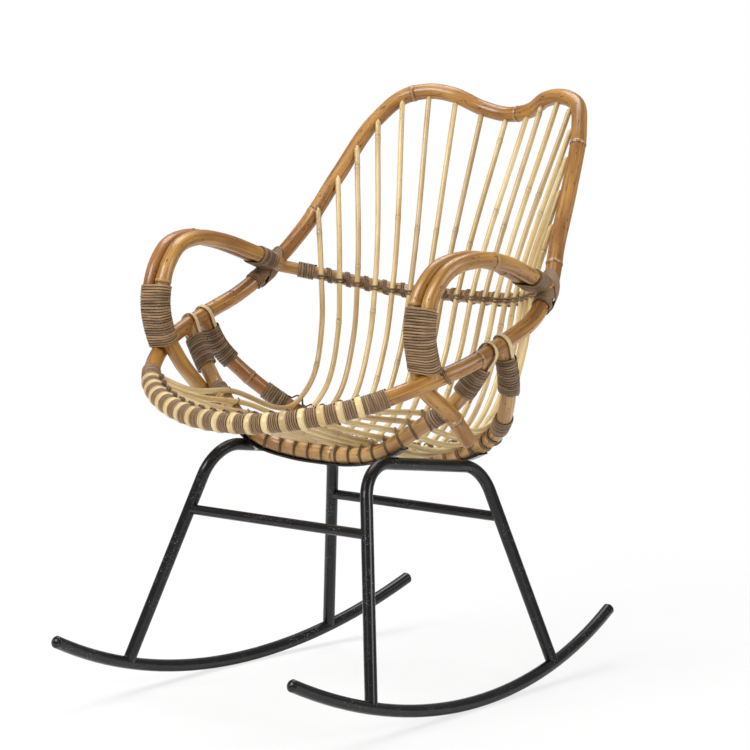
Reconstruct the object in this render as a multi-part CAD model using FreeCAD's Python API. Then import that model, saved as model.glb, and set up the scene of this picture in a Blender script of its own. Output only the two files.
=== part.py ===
import FreeCAD, Part
import bisect
import math
import os

Vec = FreeCAD.Vector

# Rattan rocking chair. Millimetres, floor at z = 0, the chair faces -Y, the sitter's left is +X.

# Steel base
TUBE_DIAMETER = 20.0
TUBE_WALL = 1.5
ROCKER_RADIUS = 1015.0
ROCKER_FRONT_REACH = 451.0
ROCKER_REAR_REACH = 397.0
ROCK_POINT_Y = 23.5
ROCKER_HALF_SPACING = 251.0
FRONT_LEG_FOOT_Y = -255.0
FRONT_LEG_TOP_Y = -149.0
REAR_LEG_TOP_Y = 145.0
REAR_LEG_FOOT_Y = 232.0
LEG_BEND_RADIUS = 65.0
STRETCHER_DIAMETER = 16.0
FRONT_STRETCHER_Z = 296.0
REAR_STRETCHER_Z = 275.0
CAP_DOME = 6.0
CAP_SPIGOT = 14.0
CAP_CLEARANCE = 0.2

# Straps and bolts that carry the seat
STRAP_WIDTH = 22.0
STRAP_THICKNESS = 3.0
FRONT_STRAP_REST = 146.0
REAR_STRAP_REST = 149.0
STRAP_OVERHANG = 24.0
BOLT_DIAMETER = 6.0
BOLT_HEAD_DIAMETER = 14.0
BOLT_HEAD_HEIGHT = 3.5
BOLT_TAIL = 4.0
HOLE_CLEARANCE = 0.4
NUT_ACROSS_FLATS = 10.0
NUT_HEIGHT = 5.0
FRONT_BOLT_SLOT = 4.5
REAR_BOLT_SLOT = 3.5

# Rattan poles
HOOP_DIAMETER = 26.0
ARM_POLE_DIAMETER = 25.0
CRADLE_DIAMETER = 25.0
LUMBAR_DIAMETER = 21.0
SPOKE_DIAMETER = 9.0
SEAT_CLEARANCE = 0.2
HOOK_CLEARANCE = 0.9

# Half of the hoop from the dip at its top centre, down the side and round to the front rim's centre
HOOP_HALF = [
    (0.0, 422.0, 906.0),
    (50.0, 416.0, 915.0),
    (96.0, 397.0, 936.0),
    (136.0, 385.0, 942.0),
    (180.0, 366.0, 932.0),
    (211.0, 330.0, 894.0),
    (240.0, 264.0, 804.0),
    (262.0, 201.0, 718.0),
    (286.0, 150.0, 660.0),
    (303.0, 84.0, 615.0),
    (308.0, -2.0, 585.0),
    (302.0, -84.0, 558.0),
    (272.0, -158.0, 533.0),
    (214.0, -234.0, 503.0),
    (140.0, -282.0, 483.0),
    (70.0, -304.0, 472.0),
    (0.0, -312.0, 469.0),
]
RIM_JOINT_FROM_CENTRE = 264.0

# Half of each cradle pole from its low centre up to the side rail, and of the rail behind the lumbar
FRONT_CRADLE_HALF = [
    (0.0, -66.0, 390.0),
    (60.0, -67.0, 392.0),
    (119.0, -74.0, 404.0),
    (193.0, -68.0, 448.0),
    (250.0, -50.0, 490.0),
    (286.0, -43.0, 537.0),
    (306.0, -39.0, 572.0),
]
REAR_CRADLE_HALF = [
    (0.0, 136.0, 362.0),
    (70.0, 133.0, 366.0),
    (140.0, 127.0, 384.0),
    (190.0, 122.0, 408.0),
    (236.0, 92.0, 442.0),
    (272.0, 58.0, 482.0),
    (301.0, 21.0, 533.0),
    (308.0, -4.0, 584.0),
]
LUMBAR_HALF = [
    (0.0, 297.0, 610.0),
    (61.0, 292.0, 611.0),
    (121.0, 274.0, 615.0),
    (176.0, 246.0, 625.0),
    (228.0, 206.0, 639.0),
    (292.0, 146.0, 660.0),
]

# Centre line of an armrest's pair of poles, from its lashed rear end to the front of its drop
ARM_LINE = [
    (277.0, 136.0, 660.0),
    (283.0, 80.0, 683.0),
    (290.0, 6.0, 708.0),
    (287.0, -62.0, 717.0),
    (278.5, -116.0, 705.0),
    (273.0, -148.0, 672.0),
    (270.5, -162.5, 618.0),
    (269.0, -151.0, 567.0),
]
ARM_POLE_GAP = 0.8
OUTER_ARM_FOOT = (281.0, -138.0, 538.0)
INNER_ARM_BEND = (250.0, -134.0, 533.0)
TAIL_CROSSING_FROM_CENTRE = 273.0
TAIL_WAY = (0.02, 0.67, -0.74)
TAIL_LENGTH = 58.0
NAIL_DIAMETER = 2.5
NAIL_HEAD_DIAMETER = 5.0
NAIL_HEAD_HEIGHT = 1.2
NAIL_BITE = 9.0

# Seventeen canes that run from the front rim, over both cradles and up the back to the hoop
SPOKES_EACH_SIDE = 8
RIM_PITCH = 29.3
FRONT_CRADLE_PITCH = 28.4
REAR_CRADLE_PITCH = 28.6
LUMBAR_PITCH = 32.2
HOOP_PITCH = 46.0
HOOP_PITCH_GROWTH = 1.3
TOP_SEAT_ANGLE = 50.0
BACK_BEND_BULGE = 27.0
BACK_BEND_LOW = 0.2
BACK_BEND_HIGH = 0.62
SPOKE_TIP = 5.0
SPOKE_SHAVE = 2.6
BAND_WIDTH = 11.0
BAND_THICKNESS = 3.4
BAND_LIFT = 0.4
BAND_END = -105.0
TAPER_LENGTH = 14.0
TAPER_RUN = 22.0
TAPER_TIP_DIAMETER = 2.9

# Cane strand windings
STRAND = 3.2
THIN_STRAND = 2.1
STRAND_CLEARANCE = 0.15
STRAND_GAP = 1.45
ARM_WRAP_TURNS = 21
ARM_WRAP_FROM_FOOT = 21.0
ARM_WRAP_WIDENING = 1.6
WIDENING_POWER = 4
ARM_LASH_TURNS = 7
ARM_LASH_FROM_END = 22.0
HOOP_LASH_TURNS = 3
HOOP_LASH_OFFSET = 34.0
FRONT_STRUT_WRAP_TURNS = 11
REAR_STRUT_WRAP_TURNS = 13
STRUT_WRAP_FROM_HOOP = 24.0
FRONT_LOWER_WRAP_TURNS = 5
FRONT_LOWER_WRAP_FROM_SPOKE = 8.0
REAR_LOWER_WRAP_TURNS = 9
REAR_LOWER_WRAP_FROM_SPOKE = 14.0
LUMBAR_WRAP_TURNS = 6
LUMBAR_WRAP_FROM_SPOKE = 10.0
RIM_END_TURNS = 11
BAND_CLEARANCE = 0.8
HOOK_WIDTH = 8.0
HOOK_THICKNESS = 3.0
HOOK_LEG = 72.0
HOOK_LEG_STEPS = 6
HOOK_CLOSING = 24.0

# How finely a path is cut into arcs
ARC_STEP = 30.0
STRAP_SECTIONS = 24
TABLE_STEPS = 16
CUTTER_LENGTH = 110.0
HOOP_SEARCH_STEPS = 600
SEATING_ROUNDS = 3

tube_radius = TUBE_DIAMETER / 2
hoop_radius = HOOP_DIAMETER / 2
arm_radius = ARM_POLE_DIAMETER / 2
cradle_radius = CRADLE_DIAMETER / 2
lumbar_radius = LUMBAR_DIAMETER / 2
spoke_radius = SPOKE_DIAMETER / 2
leg_reach = cradle_radius + HOOK_CLEARANCE + HOOK_THICKNESS / 2
UP = Vec(0, 0, 1)
ACROSS = Vec(1, 0, 0)
FORWARD = Vec(0, -1, 0)


def unit(vector):
    return vector * (1.0 / vector.Length)


def square_to(vector, way):
    """The part of a vector that is square to a way, as a unit vector."""
    return unit(vector - way * vector.dot(way))


def mirrored(point):
    return Vec(-point.x, point.y, point.z)


def both_halves(half):
    """Stations of a symmetric line, from its -X end through the middle to its +X end."""
    right = [Vec(*point) for point in half]
    left = [mirrored(point) for point in right[:0:-1]]
    return left + right


class Curve:
    """Smooth line through stations: cubic spans whose slopes weigh the chords on both sides."""

    def __init__(self, stations, closed=False):
        self.stations = stations
        self.closed = closed
        self.spans = len(stations) if closed else len(stations) - 1
        self.chords = [(self.station(i + 1) - self.station(i)).Length for i in range(self.spans)]
        inner = range(len(stations)) if closed else range(1, len(stations) - 1)
        self.slopes = {i: self.inner_slope(i) for i in inner}
        if not closed:
            first = (self.station(1) - self.station(0)) * (1.0 / self.chords[0])
            last = (self.station(self.spans) - self.station(self.spans - 1)) * (1.0 / self.chords[-1])
            self.slopes[0] = first * 1.5 - self.slopes[1] * 0.5
            self.slopes[self.spans] = last * 1.5 - self.slopes[self.spans - 1] * 0.5
        self.distances = [0.0]
        for step in range(1, self.spans * TABLE_STEPS + 1):
            gap = self.place(step / TABLE_STEPS) - self.place((step - 1) / TABLE_STEPS)
            self.distances.append(self.distances[-1] + gap.Length)
        self.length = self.distances[-1]
        self.middle = self.length / 2

    def station(self, index):
        return self.stations[index % len(self.stations)]

    def inner_slope(self, i):
        before = self.chords[i - 1]
        after = self.chords[i]
        arriving = (self.station(i) - self.station(i - 1)) * (after / before)
        leaving = (self.station(i + 1) - self.station(i)) * (before / after)
        return (arriving + leaving) * (1.0 / (before + after))

    def place(self, parameter):
        span = min(int(parameter), self.spans - 1)
        u = parameter - span
        chord = self.chords[span]
        last = (span + 1) % len(self.stations)
        return (self.station(span) * ((1 + 2 * u) * (1 - u) ** 2)
                + self.slopes[span] * (chord * u * (1 - u) ** 2)
                + self.station(span + 1) * (u * u * (3 - 2 * u))
                + self.slopes[last] * (chord * u * u * (u - 1)))

    def parameter(self, distance):
        if self.closed:
            distance = distance % self.length
        step = min(max(bisect.bisect(self.distances, distance), 1), len(self.distances) - 1)
        low = self.distances[step - 1]
        high = self.distances[step]
        return (step - 1 + (distance - low) / (high - low)) / TABLE_STEPS

    def at(self, distance):
        """The point at a distance along the line, and the unit way that the line runs there."""
        parameter = min(max(self.parameter(distance), 0.0), float(self.spans))
        small = 0.002
        low = max(parameter - small, 0.0)
        high = min(parameter + small, float(self.spans))
        return self.place(parameter), unit(self.place(high) - self.place(low))

    def station_distances(self):
        return self.distances[::TABLE_STEPS]

    def point(self, distance):
        return self.at(distance)[0]

    def way(self, distance):
        return self.at(distance)[1]


def arc_edge(start, way, end):
    """The arc that leaves start along way and reaches end, or a line where it would be straight."""
    chord = end - start
    along = unit(chord)
    rise = way - along * way.dot(along)
    if rise.Length < 1e-5:
        return Part.makeLine(start, end)
    sagitta = 0.5 * chord.Length * math.tan(way.getAngle(along) / 2)
    return Part.Arc(start, start + chord * 0.5 + unit(rise) * sagitta, end).toShape()


def biarc_edges(start, start_way, end, end_way):
    """Two arcs, tangent to each other, from start along start_way to end along end_way."""
    span = end - start
    square = 2 * (1 - start_way.dot(end_way))
    linear = 2 * span.dot(start_way + end_way)
    reach = span.dot(span) / linear
    if square > 1e-9:
        reach = (math.sqrt(linear * linear + 4 * square * span.dot(span)) - linear) / (2 * square)
    first_corner = start + start_way * reach
    last_corner = end - end_way * reach
    joint = (first_corner + last_corner) * 0.5
    return [
        arc_edge(start, start_way, joint),
        arc_edge(joint, unit(last_corner - first_corner), end),
    ]


def path_edges(places):
    """Arcs through a list of points, each given with its way."""
    edges = []
    for (start, start_way), (end, end_way) in zip(places, places[1:]):
        edges += biarc_edges(start, start_way, end, end_way)
    return edges


def curve_edges(curve, start, end):
    count = max(int(math.ceil((end - start) / ARC_STEP)), 1)
    return path_edges([curve.at(start + (end - start) * i / count) for i in range(count + 1)])


def rod(edges, radius, start, way):
    """A round bar along a chain of tangent edges."""
    section = Part.Wire([Part.Circle(start, way, radius).toShape()])
    return Part.Wire(edges).makePipeShell([section], True, False)


def pole(curve, start, end, radius):
    point, way = curve.at(start)
    return rod(curve_edges(curve, start, end), radius, point, way)


def hollow_rod(edges, radius, wall, start, way):
    outer = rod(edges, radius, start, way)
    return outer.cut(rod(edges, radius - wall, start, way))


def largest(shape):
    return max(shape.Solids, key=lambda solid: solid.Volume)


def mirror_shape(shape):
    return shape.mirror(Vec(0, 0, 0), ACROSS)


def save(name, *solids):
    shape = solids[0] if len(solids) == 1 else Part.makeCompound(list(solids))
    good = shape.isValid()
    volume = sum(solid.Volume for solid in shape.Solids)
    print(f"{name}: {len(shape.Solids)} solids, {volume / 1000:.1f} cm3, valid {good}")
    shape.exportStep(f"parts/{name}.step")


# Curves that the rattan follows
hoop_stations = [Vec(*point) for point in HOOP_HALF]
hoop_line = Curve(hoop_stations + [mirrored(point) for point in hoop_stations[-2:0:-1]], closed=True)


def hoop_distance(point):
    """Distance along the hoop, on its +X side, of the place nearest to a point."""
    places = [hoop_line.middle * i / HOOP_SEARCH_STEPS for i in range(HOOP_SEARCH_STEPS + 1)]
    return min(places, key=lambda place: (hoop_line.point(place) - point).Length)


def line_to_hoop(half):
    """A symmetric line whose two ends lie on the hoop, at the place nearest to its last station."""
    on_hoop = hoop_line.point(hoop_distance(Vec(*half[-1])))
    return Curve(both_halves(half[:-1] + [tuple(on_hoop)]))


front_cradle_line = line_to_hoop(FRONT_CRADLE_HALF)
rear_cradle_line = line_to_hoop(REAR_CRADLE_HALF)
lumbar_line = line_to_hoop(LUMBAR_HALF)
arm_stations = [Vec(*point) for point in ARM_LINE]
arm_offset = ACROSS * (arm_radius + ARM_POLE_GAP / 2)


def strap_rest(line, from_centre):
    """Axis of the left side frame's top run under the front edge of the strap that rests on it."""
    point, way = line.at(line.middle + from_centre)
    down = square_to(UP * -1, way)
    drop = down * (cradle_radius + STRAP_THICKNESS + 2 * SEAT_CLEARANCE + tube_radius)
    return point + drop + square_to(FORWARD, way) * (STRAP_WIDTH / 2)


# Each side frame of the base lies in one plane, through its two rests and its rocker's lowest point
front_rest = strap_rest(front_cradle_line, FRONT_STRAP_REST)
rear_rest = strap_rest(rear_cradle_line, REAR_STRAP_REST)
rock_point = Vec(ROCKER_HALF_SPACING, ROCK_POINT_Y, tube_radius)
side_normal = unit((rear_rest - rock_point).cross(front_rest - rock_point))
side_along = unit(UP.cross(side_normal))
side_up = side_normal.cross(side_along)


def on_top_run(y):
    """The point at a given y of the straight line through the two rests."""
    return front_rest + (rear_rest - front_rest) * ((y - front_rest.y) / (rear_rest.y - front_rest.y))


def on_rocker(reach):
    """The rocker's axis at a reach behind its lowest point, with its way towards the rear."""
    turn = math.asin(reach / ROCKER_RADIUS)
    point = rock_point + side_along * reach + side_up * (ROCKER_RADIUS * (1 - math.cos(turn)))
    return point, side_along * math.cos(turn) + side_up * math.sin(turn)


def bent_edges(corners, radius):
    """Straight runs between corners, with one tangent arc at each inner corner."""
    edges = []
    start = corners[0]
    for before, corner, after in zip(corners, corners[1:], corners[2:]):
        arriving = unit(corner - before)
        leaving = unit(after - corner)
        setback = radius * math.tan(arriving.getAngle(leaving) / 2)
        bend_start = corner - arriving * setback
        bend_end = corner + leaving * setback
        edges += [Part.makeLine(start, bend_start), arc_edge(bend_start, arriving, bend_end)]
        start = bend_end
    return edges + [Part.makeLine(start, corners[-1])]


def rocker_rod(radius):
    start, way = on_rocker(-ROCKER_FRONT_REACH)
    end = on_rocker(ROCKER_REAR_REACH)[0]
    return rod([Part.Arc(start, on_rocker(0)[0], end).toShape()], radius, start, way)


def leg_corners():
    return [
        on_rocker(FRONT_LEG_FOOT_Y - ROCK_POINT_Y)[0],
        on_top_run(FRONT_LEG_TOP_Y),
        on_top_run(REAR_LEG_TOP_Y),
        on_rocker(REAR_LEG_FOOT_Y - ROCK_POINT_Y)[0],
    ]


def leg_rod(radius):
    corners = leg_corners()
    return rod(bent_edges(corners, LEG_BEND_RADIUS), radius, corners[0], unit(corners[1] - corners[0]))


def end_cap(reach, outward):
    """Domed plug: a spigot in the tube's bore and a dome over its end."""
    end, way = on_rocker(reach)
    way = way * outward
    spigot_radius = tube_radius - TUBE_WALL - CAP_CLEARANCE
    spigot = Part.makeCylinder(spigot_radius, CAP_SPIGOT, end - way * CAP_SPIGOT, way)
    ball_radius = (tube_radius ** 2 + CAP_DOME ** 2) / (2 * CAP_DOME)
    ball = Part.makeSphere(ball_radius, end + way * (CAP_DOME - ball_radius))
    dome = ball.common(Part.makeCylinder(tube_radius, CAP_DOME + 1, end, way))
    return spigot.fuse(dome).removeSplitter()


def leg_at_height(first, second, z):
    """The point of a straight leg, between two of its corners, at a height."""
    return first + (second - first) * ((z - first.z) / (second.z - first.z))


def stretcher(centre, leg_solids):
    start = mirrored(centre)
    span = Part.makeLine(start, centre)
    tube = hollow_rod([span], STRETCHER_DIAMETER / 2, TUBE_WALL, start, ACROSS)
    return largest(tube.cut(leg_solids))


def rim_distance(from_centre):
    """Distance along the hoop of a place on the front rim, from the rim's centre towards +X."""
    return hoop_line.middle - from_centre


def hoop_cutter(distance):
    """A stretch of the hoop, thicker by the clearance, that trims what butts on it."""
    half_length = CUTTER_LENGTH / 2
    return pole(hoop_line, distance - half_length, distance + half_length, hoop_radius + SEAT_CLEARANCE)


def pole_to_hoop(line, radius):
    """A pole whose two ends butt on the hoop's sides."""
    bar = pole(line, 0.0, line.length, radius)
    end = hoop_distance(line.stations[-1])
    for place in (end, -end):
        bar = largest(bar.cut(hoop_cutter(place)))
    return bar


def seat_on(line, distance, way, reach, toward):
    """A point at a reach from a pole, square to the pole and to the way of what crosses it."""
    point, along = line.at(distance)
    normal = unit(along.cross(way))
    if normal.dot(toward) < 0:
        normal = normal * -1
    return point + normal * reach, normal


def spoke(index):
    """One cane: a flat band round the front rim and a taper off the rim's top, then a round rod over both
    cradles and up the back to the hoop, where its end is shaved."""
    clear = spoke_radius + SEAT_CLEARANCE
    front_at = front_cradle_line.middle + index * FRONT_CRADLE_PITCH
    rear_at = rear_cradle_line.middle + index * REAR_CRADLE_PITCH
    lumbar_at = lumbar_line.middle + index * LUMBAR_PITCH
    hoop_at = index * (HOOP_PITCH + HOOP_PITCH_GROWTH * abs(index))
    seat_way = unit(front_cradle_line.point(front_at) - rear_cradle_line.point(rear_at))
    back_way = unit(hoop_line.point(hoop_at) - lumbar_line.point(lumbar_at))
    front = seat_on(front_cradle_line, front_at, seat_way, cradle_radius + clear, UP)[0]
    lumbar = seat_on(lumbar_line, lumbar_at, back_way, lumbar_radius + clear, FORWARD)[0]
    hoop_point, hoop_way = hoop_line.at(hoop_at)
    facing = square_to(FORWARD, hoop_way)
    inner = hoop_way.cross(facing)
    if inner.dot(lumbar - hoop_point) < 0:
        inner = inner * -1
    top_angle = math.radians(TOP_SEAT_ANGLE)
    top_radial = facing * math.cos(top_angle) + inner * math.sin(top_angle)
    top = hoop_point + top_radial * (hoop_radius + spoke_radius - SPOKE_SHAVE)
    rear_way = seat_way * -1
    for attempt in range(SEATING_ROUNDS):
        rear = seat_on(rear_cradle_line, rear_at, rear_way, cradle_radius + clear, UP)[0]
        rise = lumbar - rear
        rearward = square_to(FORWARD * -1, unit(rise))
        bulge = rearward * BACK_BEND_BULGE
        bends = [rear + rise * share + bulge for share in (BACK_BEND_LOW, BACK_BEND_HIGH)]
        rear_way = unit(Curve([front, rear, bends[0], bends[1]]).slopes[1])

    rim, rim_way = hoop_line.at(rim_distance(index * RIM_PITCH))
    ahead = square_to(FORWARD, rim_way)
    upward = ahead.cross(rim_way)
    if upward.z < 0:
        upward = upward * -1
    band_reach = hoop_radius + BAND_THICKNESS / 2 + BAND_LIFT
    seat_run = Vec((front - rim).dot(ahead), (front - rim).dot(upward), 0)
    seat_angle = math.atan2(seat_run.y, seat_run.x) % (2 * math.pi)
    over_angle = seat_angle - math.acos(band_reach / seat_run.Length)
    over_radial = ahead * math.cos(over_angle) + upward * math.sin(over_angle)
    over = rim + over_radial * band_reach
    over_way = upward * math.cos(over_angle) - ahead * math.sin(over_angle)

    line = Curve([
        over + over_way * TAPER_LENGTH,
        over + over_way * (TAPER_LENGTH + TAPER_RUN),
        front,
        rear,
        *bends,
        lumbar,
        top,
        top + unit(top - lumbar) * SPOKE_TIP,
    ])
    bar = pole(line, 0.0, line.length, spoke_radius)
    bar = largest(bar.cut(hoop_cutter(hoop_at)))
    start, start_way = line.at(0.0)
    taper = Part.makeCone(spoke_radius, TAPER_TIP_DIAMETER / 2, TAPER_LENGTH, start, start_way * -1)
    oval = Part.Ellipse(over + rim_way * (BAND_WIDTH / 2), over + over_radial * (BAND_THICKNESS / 2), over)
    face = Part.Face(Part.Wire([oval.toShape()]))
    band = face.revolve(rim, upward.cross(ahead), math.degrees(over_angle) - BAND_END)
    return bar.fuse([taper, band]).removeSplitter()


def winding(name, line, start, turns, strand, reach, side, spread=0.0, widening=0.0):
    """One strand wound round a line: reach is from a pole's axis to the strand's, spread is half
    the distance between the axes of two poles that lie side by side, along the side way, and widening
    is what it gains by the last turn."""
    pitch = strand + STRAND_GAP
    if spread > 0:
        stops = [(0, 1), (90, 1), (90, -1), (180, -1), (270, -1), (270, 1)]
    else:
        stops = [(0, 0), (90, 0), (180, 0), (270, 0)]
    quarter = math.pi * reach / 2
    perimeter = 4 * quarter + 4 * spread
    places = []
    for turn in range(turns + 1):
        for angle, half in stops if turn < turns else stops[:1]:
            crossed = 0.0
            if spread > 0 and (angle, half) in stops[2:5]:
                crossed = 2 * spread
            elif spread > 0 and (angle, half) == (270, 1):
                crossed = 4 * spread
            share = (quarter * angle / 90 + crossed) / perimeter
            point, way = line.at(start + pitch * (turn + share))
            out = square_to(side, way)
            over = way.cross(out)
            turned = math.radians(angle)
            radial = out * math.cos(turned) + over * math.sin(turned)
            around = over * math.cos(turned) - out * math.sin(turned)
            wider = widening * ((turn + share) / turns) ** WIDENING_POWER
            place = point + out * (half * (spread + wider)) + radial * reach
            places.append((place, unit(around + way * (pitch / perimeter))))
    edges = path_edges(places)
    first, first_way = places[0]
    last, last_way = places[-1]
    lead = first - first_way * strand
    edges = [Part.makeLine(lead, first)] + edges + [Part.makeLine(last, last + last_way * strand)]
    samples = [point for edge in edges for point in edge.discretize(5)[:-1]]
    per_turn = 4 * 2 * len(stops)
    gap = min((samples[i] - samples[j]).Length
              for i in range(len(samples))
              for j in range(i + per_turn // 2, min(i + 2 * per_turn, len(samples))))
    print(f"least gap in {name}: {gap - strand:.2f}")
    return rod(edges, strand / 2, lead, first_way)


def pole_winding(name, line, start, turns, strand, radius, side=UP):
    return winding(name, line, start, turns, strand, radius + strand / 2 + STRAND_CLEARANCE, side)


def bolt_set(line, pitch, slot):
    """Places of one cradle's two bolts: the head's seat on the pole and the downward way."""
    for hand in (-1, 1):
        point, way = line.at(line.middle + hand * slot * pitch)
        yield point, square_to(UP * -1, way)


def bolt(point, down):
    seat = point - down * cradle_radius
    shank_length = CRADLE_DIAMETER + STRAP_THICKNESS + 2 * SEAT_CLEARANCE + NUT_HEIGHT + BOLT_TAIL
    shank = Part.makeCylinder(BOLT_DIAMETER / 2, shank_length, seat, down)
    ball_radius = ((BOLT_HEAD_DIAMETER / 2) ** 2 + BOLT_HEAD_HEIGHT ** 2) / (2 * BOLT_HEAD_HEIGHT)
    ball = Part.makeSphere(ball_radius, seat - down * (BOLT_HEAD_HEIGHT - ball_radius))
    head = ball.common(Part.makeCylinder(BOLT_HEAD_DIAMETER / 2, BOLT_HEAD_HEIGHT + 1, seat, down * -1))
    return head.fuse(shank).removeSplitter()


def bolt_hole(point, down):
    length = CRADLE_DIAMETER + STRAP_THICKNESS + BOLT_HEAD_HEIGHT
    hole = Part.makeCylinder((BOLT_DIAMETER + HOLE_CLEARANCE) / 2, 2 * length, point - down * length, down)
    spot_face = Part.makeCylinder((BOLT_HEAD_DIAMETER + HOLE_CLEARANCE) / 2, length,
                                  point - down * cradle_radius, down * -1)
    return hole.fuse(spot_face)


def nut(point, down):
    start = point + down * (cradle_radius + STRAP_THICKNESS + 2 * SEAT_CLEARANCE)
    corner = NUT_ACROSS_FLATS / math.sqrt(3)
    side = square_to(ACROSS, down)
    other = down.cross(side)
    turns = [math.radians(60 * i) for i in range(7)]
    ring = [start + side * (corner * math.cos(a)) + other * (corner * math.sin(a)) for a in turns]
    block = Part.Face(Part.makePolygon(ring)).extrude(down * NUT_HEIGHT)
    return block.cut(Part.makeCylinder(BOLT_DIAMETER / 2, NUT_HEIGHT, start, down))


def strap(line, end):
    """Flat bar under a cradle pole, from one side frame to the other, along the pole's curve."""
    sections = []
    for i in range(STRAP_SECTIONS + 1):
        point, way = line.at(line.middle - end + 2 * end * i / STRAP_SECTIONS)
        down = square_to(UP * -1, way)
        wide = unit(way.cross(down)) * (STRAP_WIDTH / 2)
        top = point + down * (cradle_radius + SEAT_CLEARANCE)
        base = top + down * STRAP_THICKNESS
        sections.append(Part.makePolygon([top - wide, top + wide, base + wide, base - wide, top - wide]))
    return Part.makeLoft(sections, True, False)


def hook_reach(line):
    """Distance from the rail's axis to the axis of a hook bent over it in the strut's direction."""
    rail_way = hoop_line.way(hoop_distance(line.stations[-1]))
    slant = math.sin(line.way(line.length).getAngle(rail_way))
    return (hoop_radius + HOOK_CLEARANCE) / slant + HOOK_THICKNESS / 2


def strut_side(line):
    """The way from a left strut's axis to the leg of its hook, halfway down the leg."""
    return unit(line.way(line.length - HOOK_LEG / 2).cross(FORWARD))


def hook_leg(line, hand):
    """Places of one leg of a hook, from the rail down to the strut's side and along it."""
    places = []
    for i in range(HOOK_LEG_STEPS + 1):
        down = HOOK_LEG * i / HOOK_LEG_STEPS
        share = min(down / HOOK_CLOSING, 1.0)
        share = share * share * (3 - 2 * share)
        point, way = line.at(line.length - down)
        reach = hook_reach(line) * (1 - share) + leg_reach * share
        places.append(point + square_to(strut_side(line), way) * (hand * reach))
    leg = Curve(places)
    return [leg.at(distance) for distance in leg.station_distances()]


def hook(line):
    """Split cane bent over the left side rail, with a leg down each side of the strut below."""
    rising = [(place, way * -1) for place, way in hook_leg(line, -1)[::-1]]
    falling = hook_leg(line, 1)
    way = line.way(line.length)
    crown = line.stations[-1] + way * hook_reach(line)
    crown_way = unit(falling[0][0] - rising[-1][0])
    edges = path_edges(rising + [(crown, crown_way)] + falling)
    start, start_way = rising[0]
    thick = square_to(crown_way, start_way) * (HOOK_THICKNESS / 2)
    wide = unit(start_way.cross(thick)) * (HOOK_WIDTH / 2)
    section = Part.Wire([Part.Ellipse(start + wide, start + thick, start).toShape()])
    return Part.Wire(edges).makePipeShell([section], True, False)


def strut_wrap(name, line, turns):
    """Winding round the top of the left strut of a cradle and the two legs of its hook."""
    reach = cradle_radius + STRAND / 2 + STRAND_CLEARANCE
    spread = leg_reach + HOOK_THICKNESS / 2 - cradle_radius
    start = line.length - STRUT_WRAP_FROM_HOOP - turns * (STRAND + STRAND_GAP)
    return winding(name, line, start, turns, STRAND, reach, strut_side(line), spread)


os.makedirs("parts", exist_ok=True)

# Steel base
left_leg = leg_rod(tube_radius)
right_leg = mirror_shape(left_leg)
left_rocker = rocker_rod(tube_radius)
rocker = left_rocker.cut(rocker_rod(tube_radius - TUBE_WALL))
leg_frame = largest(left_leg.cut(leg_rod(tube_radius - TUBE_WALL)).cut(left_rocker))
save("rocker_left", rocker)
save("rocker_right", mirror_shape(rocker))
save("leg_frame_left", leg_frame)
save("leg_frame_right", mirror_shape(leg_frame))
caps = [end_cap(-ROCKER_FRONT_REACH, -1), end_cap(ROCKER_REAR_REACH, 1)]
save("rocker_end_caps", *caps, *[mirror_shape(cap) for cap in caps])
both_legs = Part.makeCompound([left_leg, right_leg])
front_foot, front_top, rear_top, rear_foot = leg_corners()
save("front_stretcher", stretcher(leg_at_height(front_foot, front_top, FRONT_STRETCHER_Z), both_legs))
save("rear_stretcher", stretcher(leg_at_height(rear_top, rear_foot, REAR_STRETCHER_Z), both_legs))

# Armrest lines: the outer pole stands on the side rail, the inner one runs on inside it to the front cradle
arm_feet = [Vec(*OUTER_ARM_FOOT), Vec(*INNER_ARM_BEND)]
pair_line = Curve(arm_stations + [(arm_feet[0] + arm_feet[1]) * 0.5])
outer_line = Curve([point + arm_offset for point in arm_stations] + [arm_feet[0]])
crossing_at = front_cradle_line.middle + TAIL_CROSSING_FROM_CENTRE
tail_way = unit(Vec(*TAIL_WAY))
crossing, tail_side = seat_on(front_cradle_line, crossing_at, tail_way,
                              cradle_radius + arm_radius + SEAT_CLEARANCE, UP * -1)
inner_line = Curve([point - arm_offset for point in arm_stations]
                   + [arm_feet[1], crossing, crossing + tail_way * TAIL_LENGTH])
nail_seat = crossing + tail_side * (arm_radius + SEAT_CLEARANCE)
nail_shank = Part.makeCylinder(NAIL_DIAMETER / 2, ARM_POLE_DIAMETER + NAIL_BITE, nail_seat, tail_side * -1)
nail_head = Part.makeCylinder(NAIL_HEAD_DIAMETER / 2, NAIL_HEAD_HEIGHT, nail_seat, tail_side)
nail = nail_head.fuse(nail_shank).removeSplitter()
nail_holes = [nail_shank, mirror_shape(nail_shank)]

# Seat cradles with their straps and bolts
cradle_sets = [
    ("front", front_cradle_line, FRONT_CRADLE_PITCH, FRONT_BOLT_SLOT, FRONT_STRAP_REST),
    ("rear", rear_cradle_line, REAR_CRADLE_PITCH, REAR_BOLT_SLOT, REAR_STRAP_REST),
]
bolts = []
nuts = []
for end_name, line, pitch, slot, rest in cradle_sets:
    places = list(bolt_set(line, pitch, slot))
    holes = Part.makeCompound([bolt_hole(*place) for place in places] + nail_holes)
    save(f"{end_name}_cradle", largest(pole_to_hoop(line, cradle_radius).cut(holes)))
    save(f"{end_name}_seat_strap", strap(line, rest + STRAP_OVERHANG).cut(holes))
    bolts += [bolt(*place) for place in places]
    nuts += [nut(*place) for place in places]
save("seat_bolts", *bolts)
save("seat_nuts", *nuts)

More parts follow.
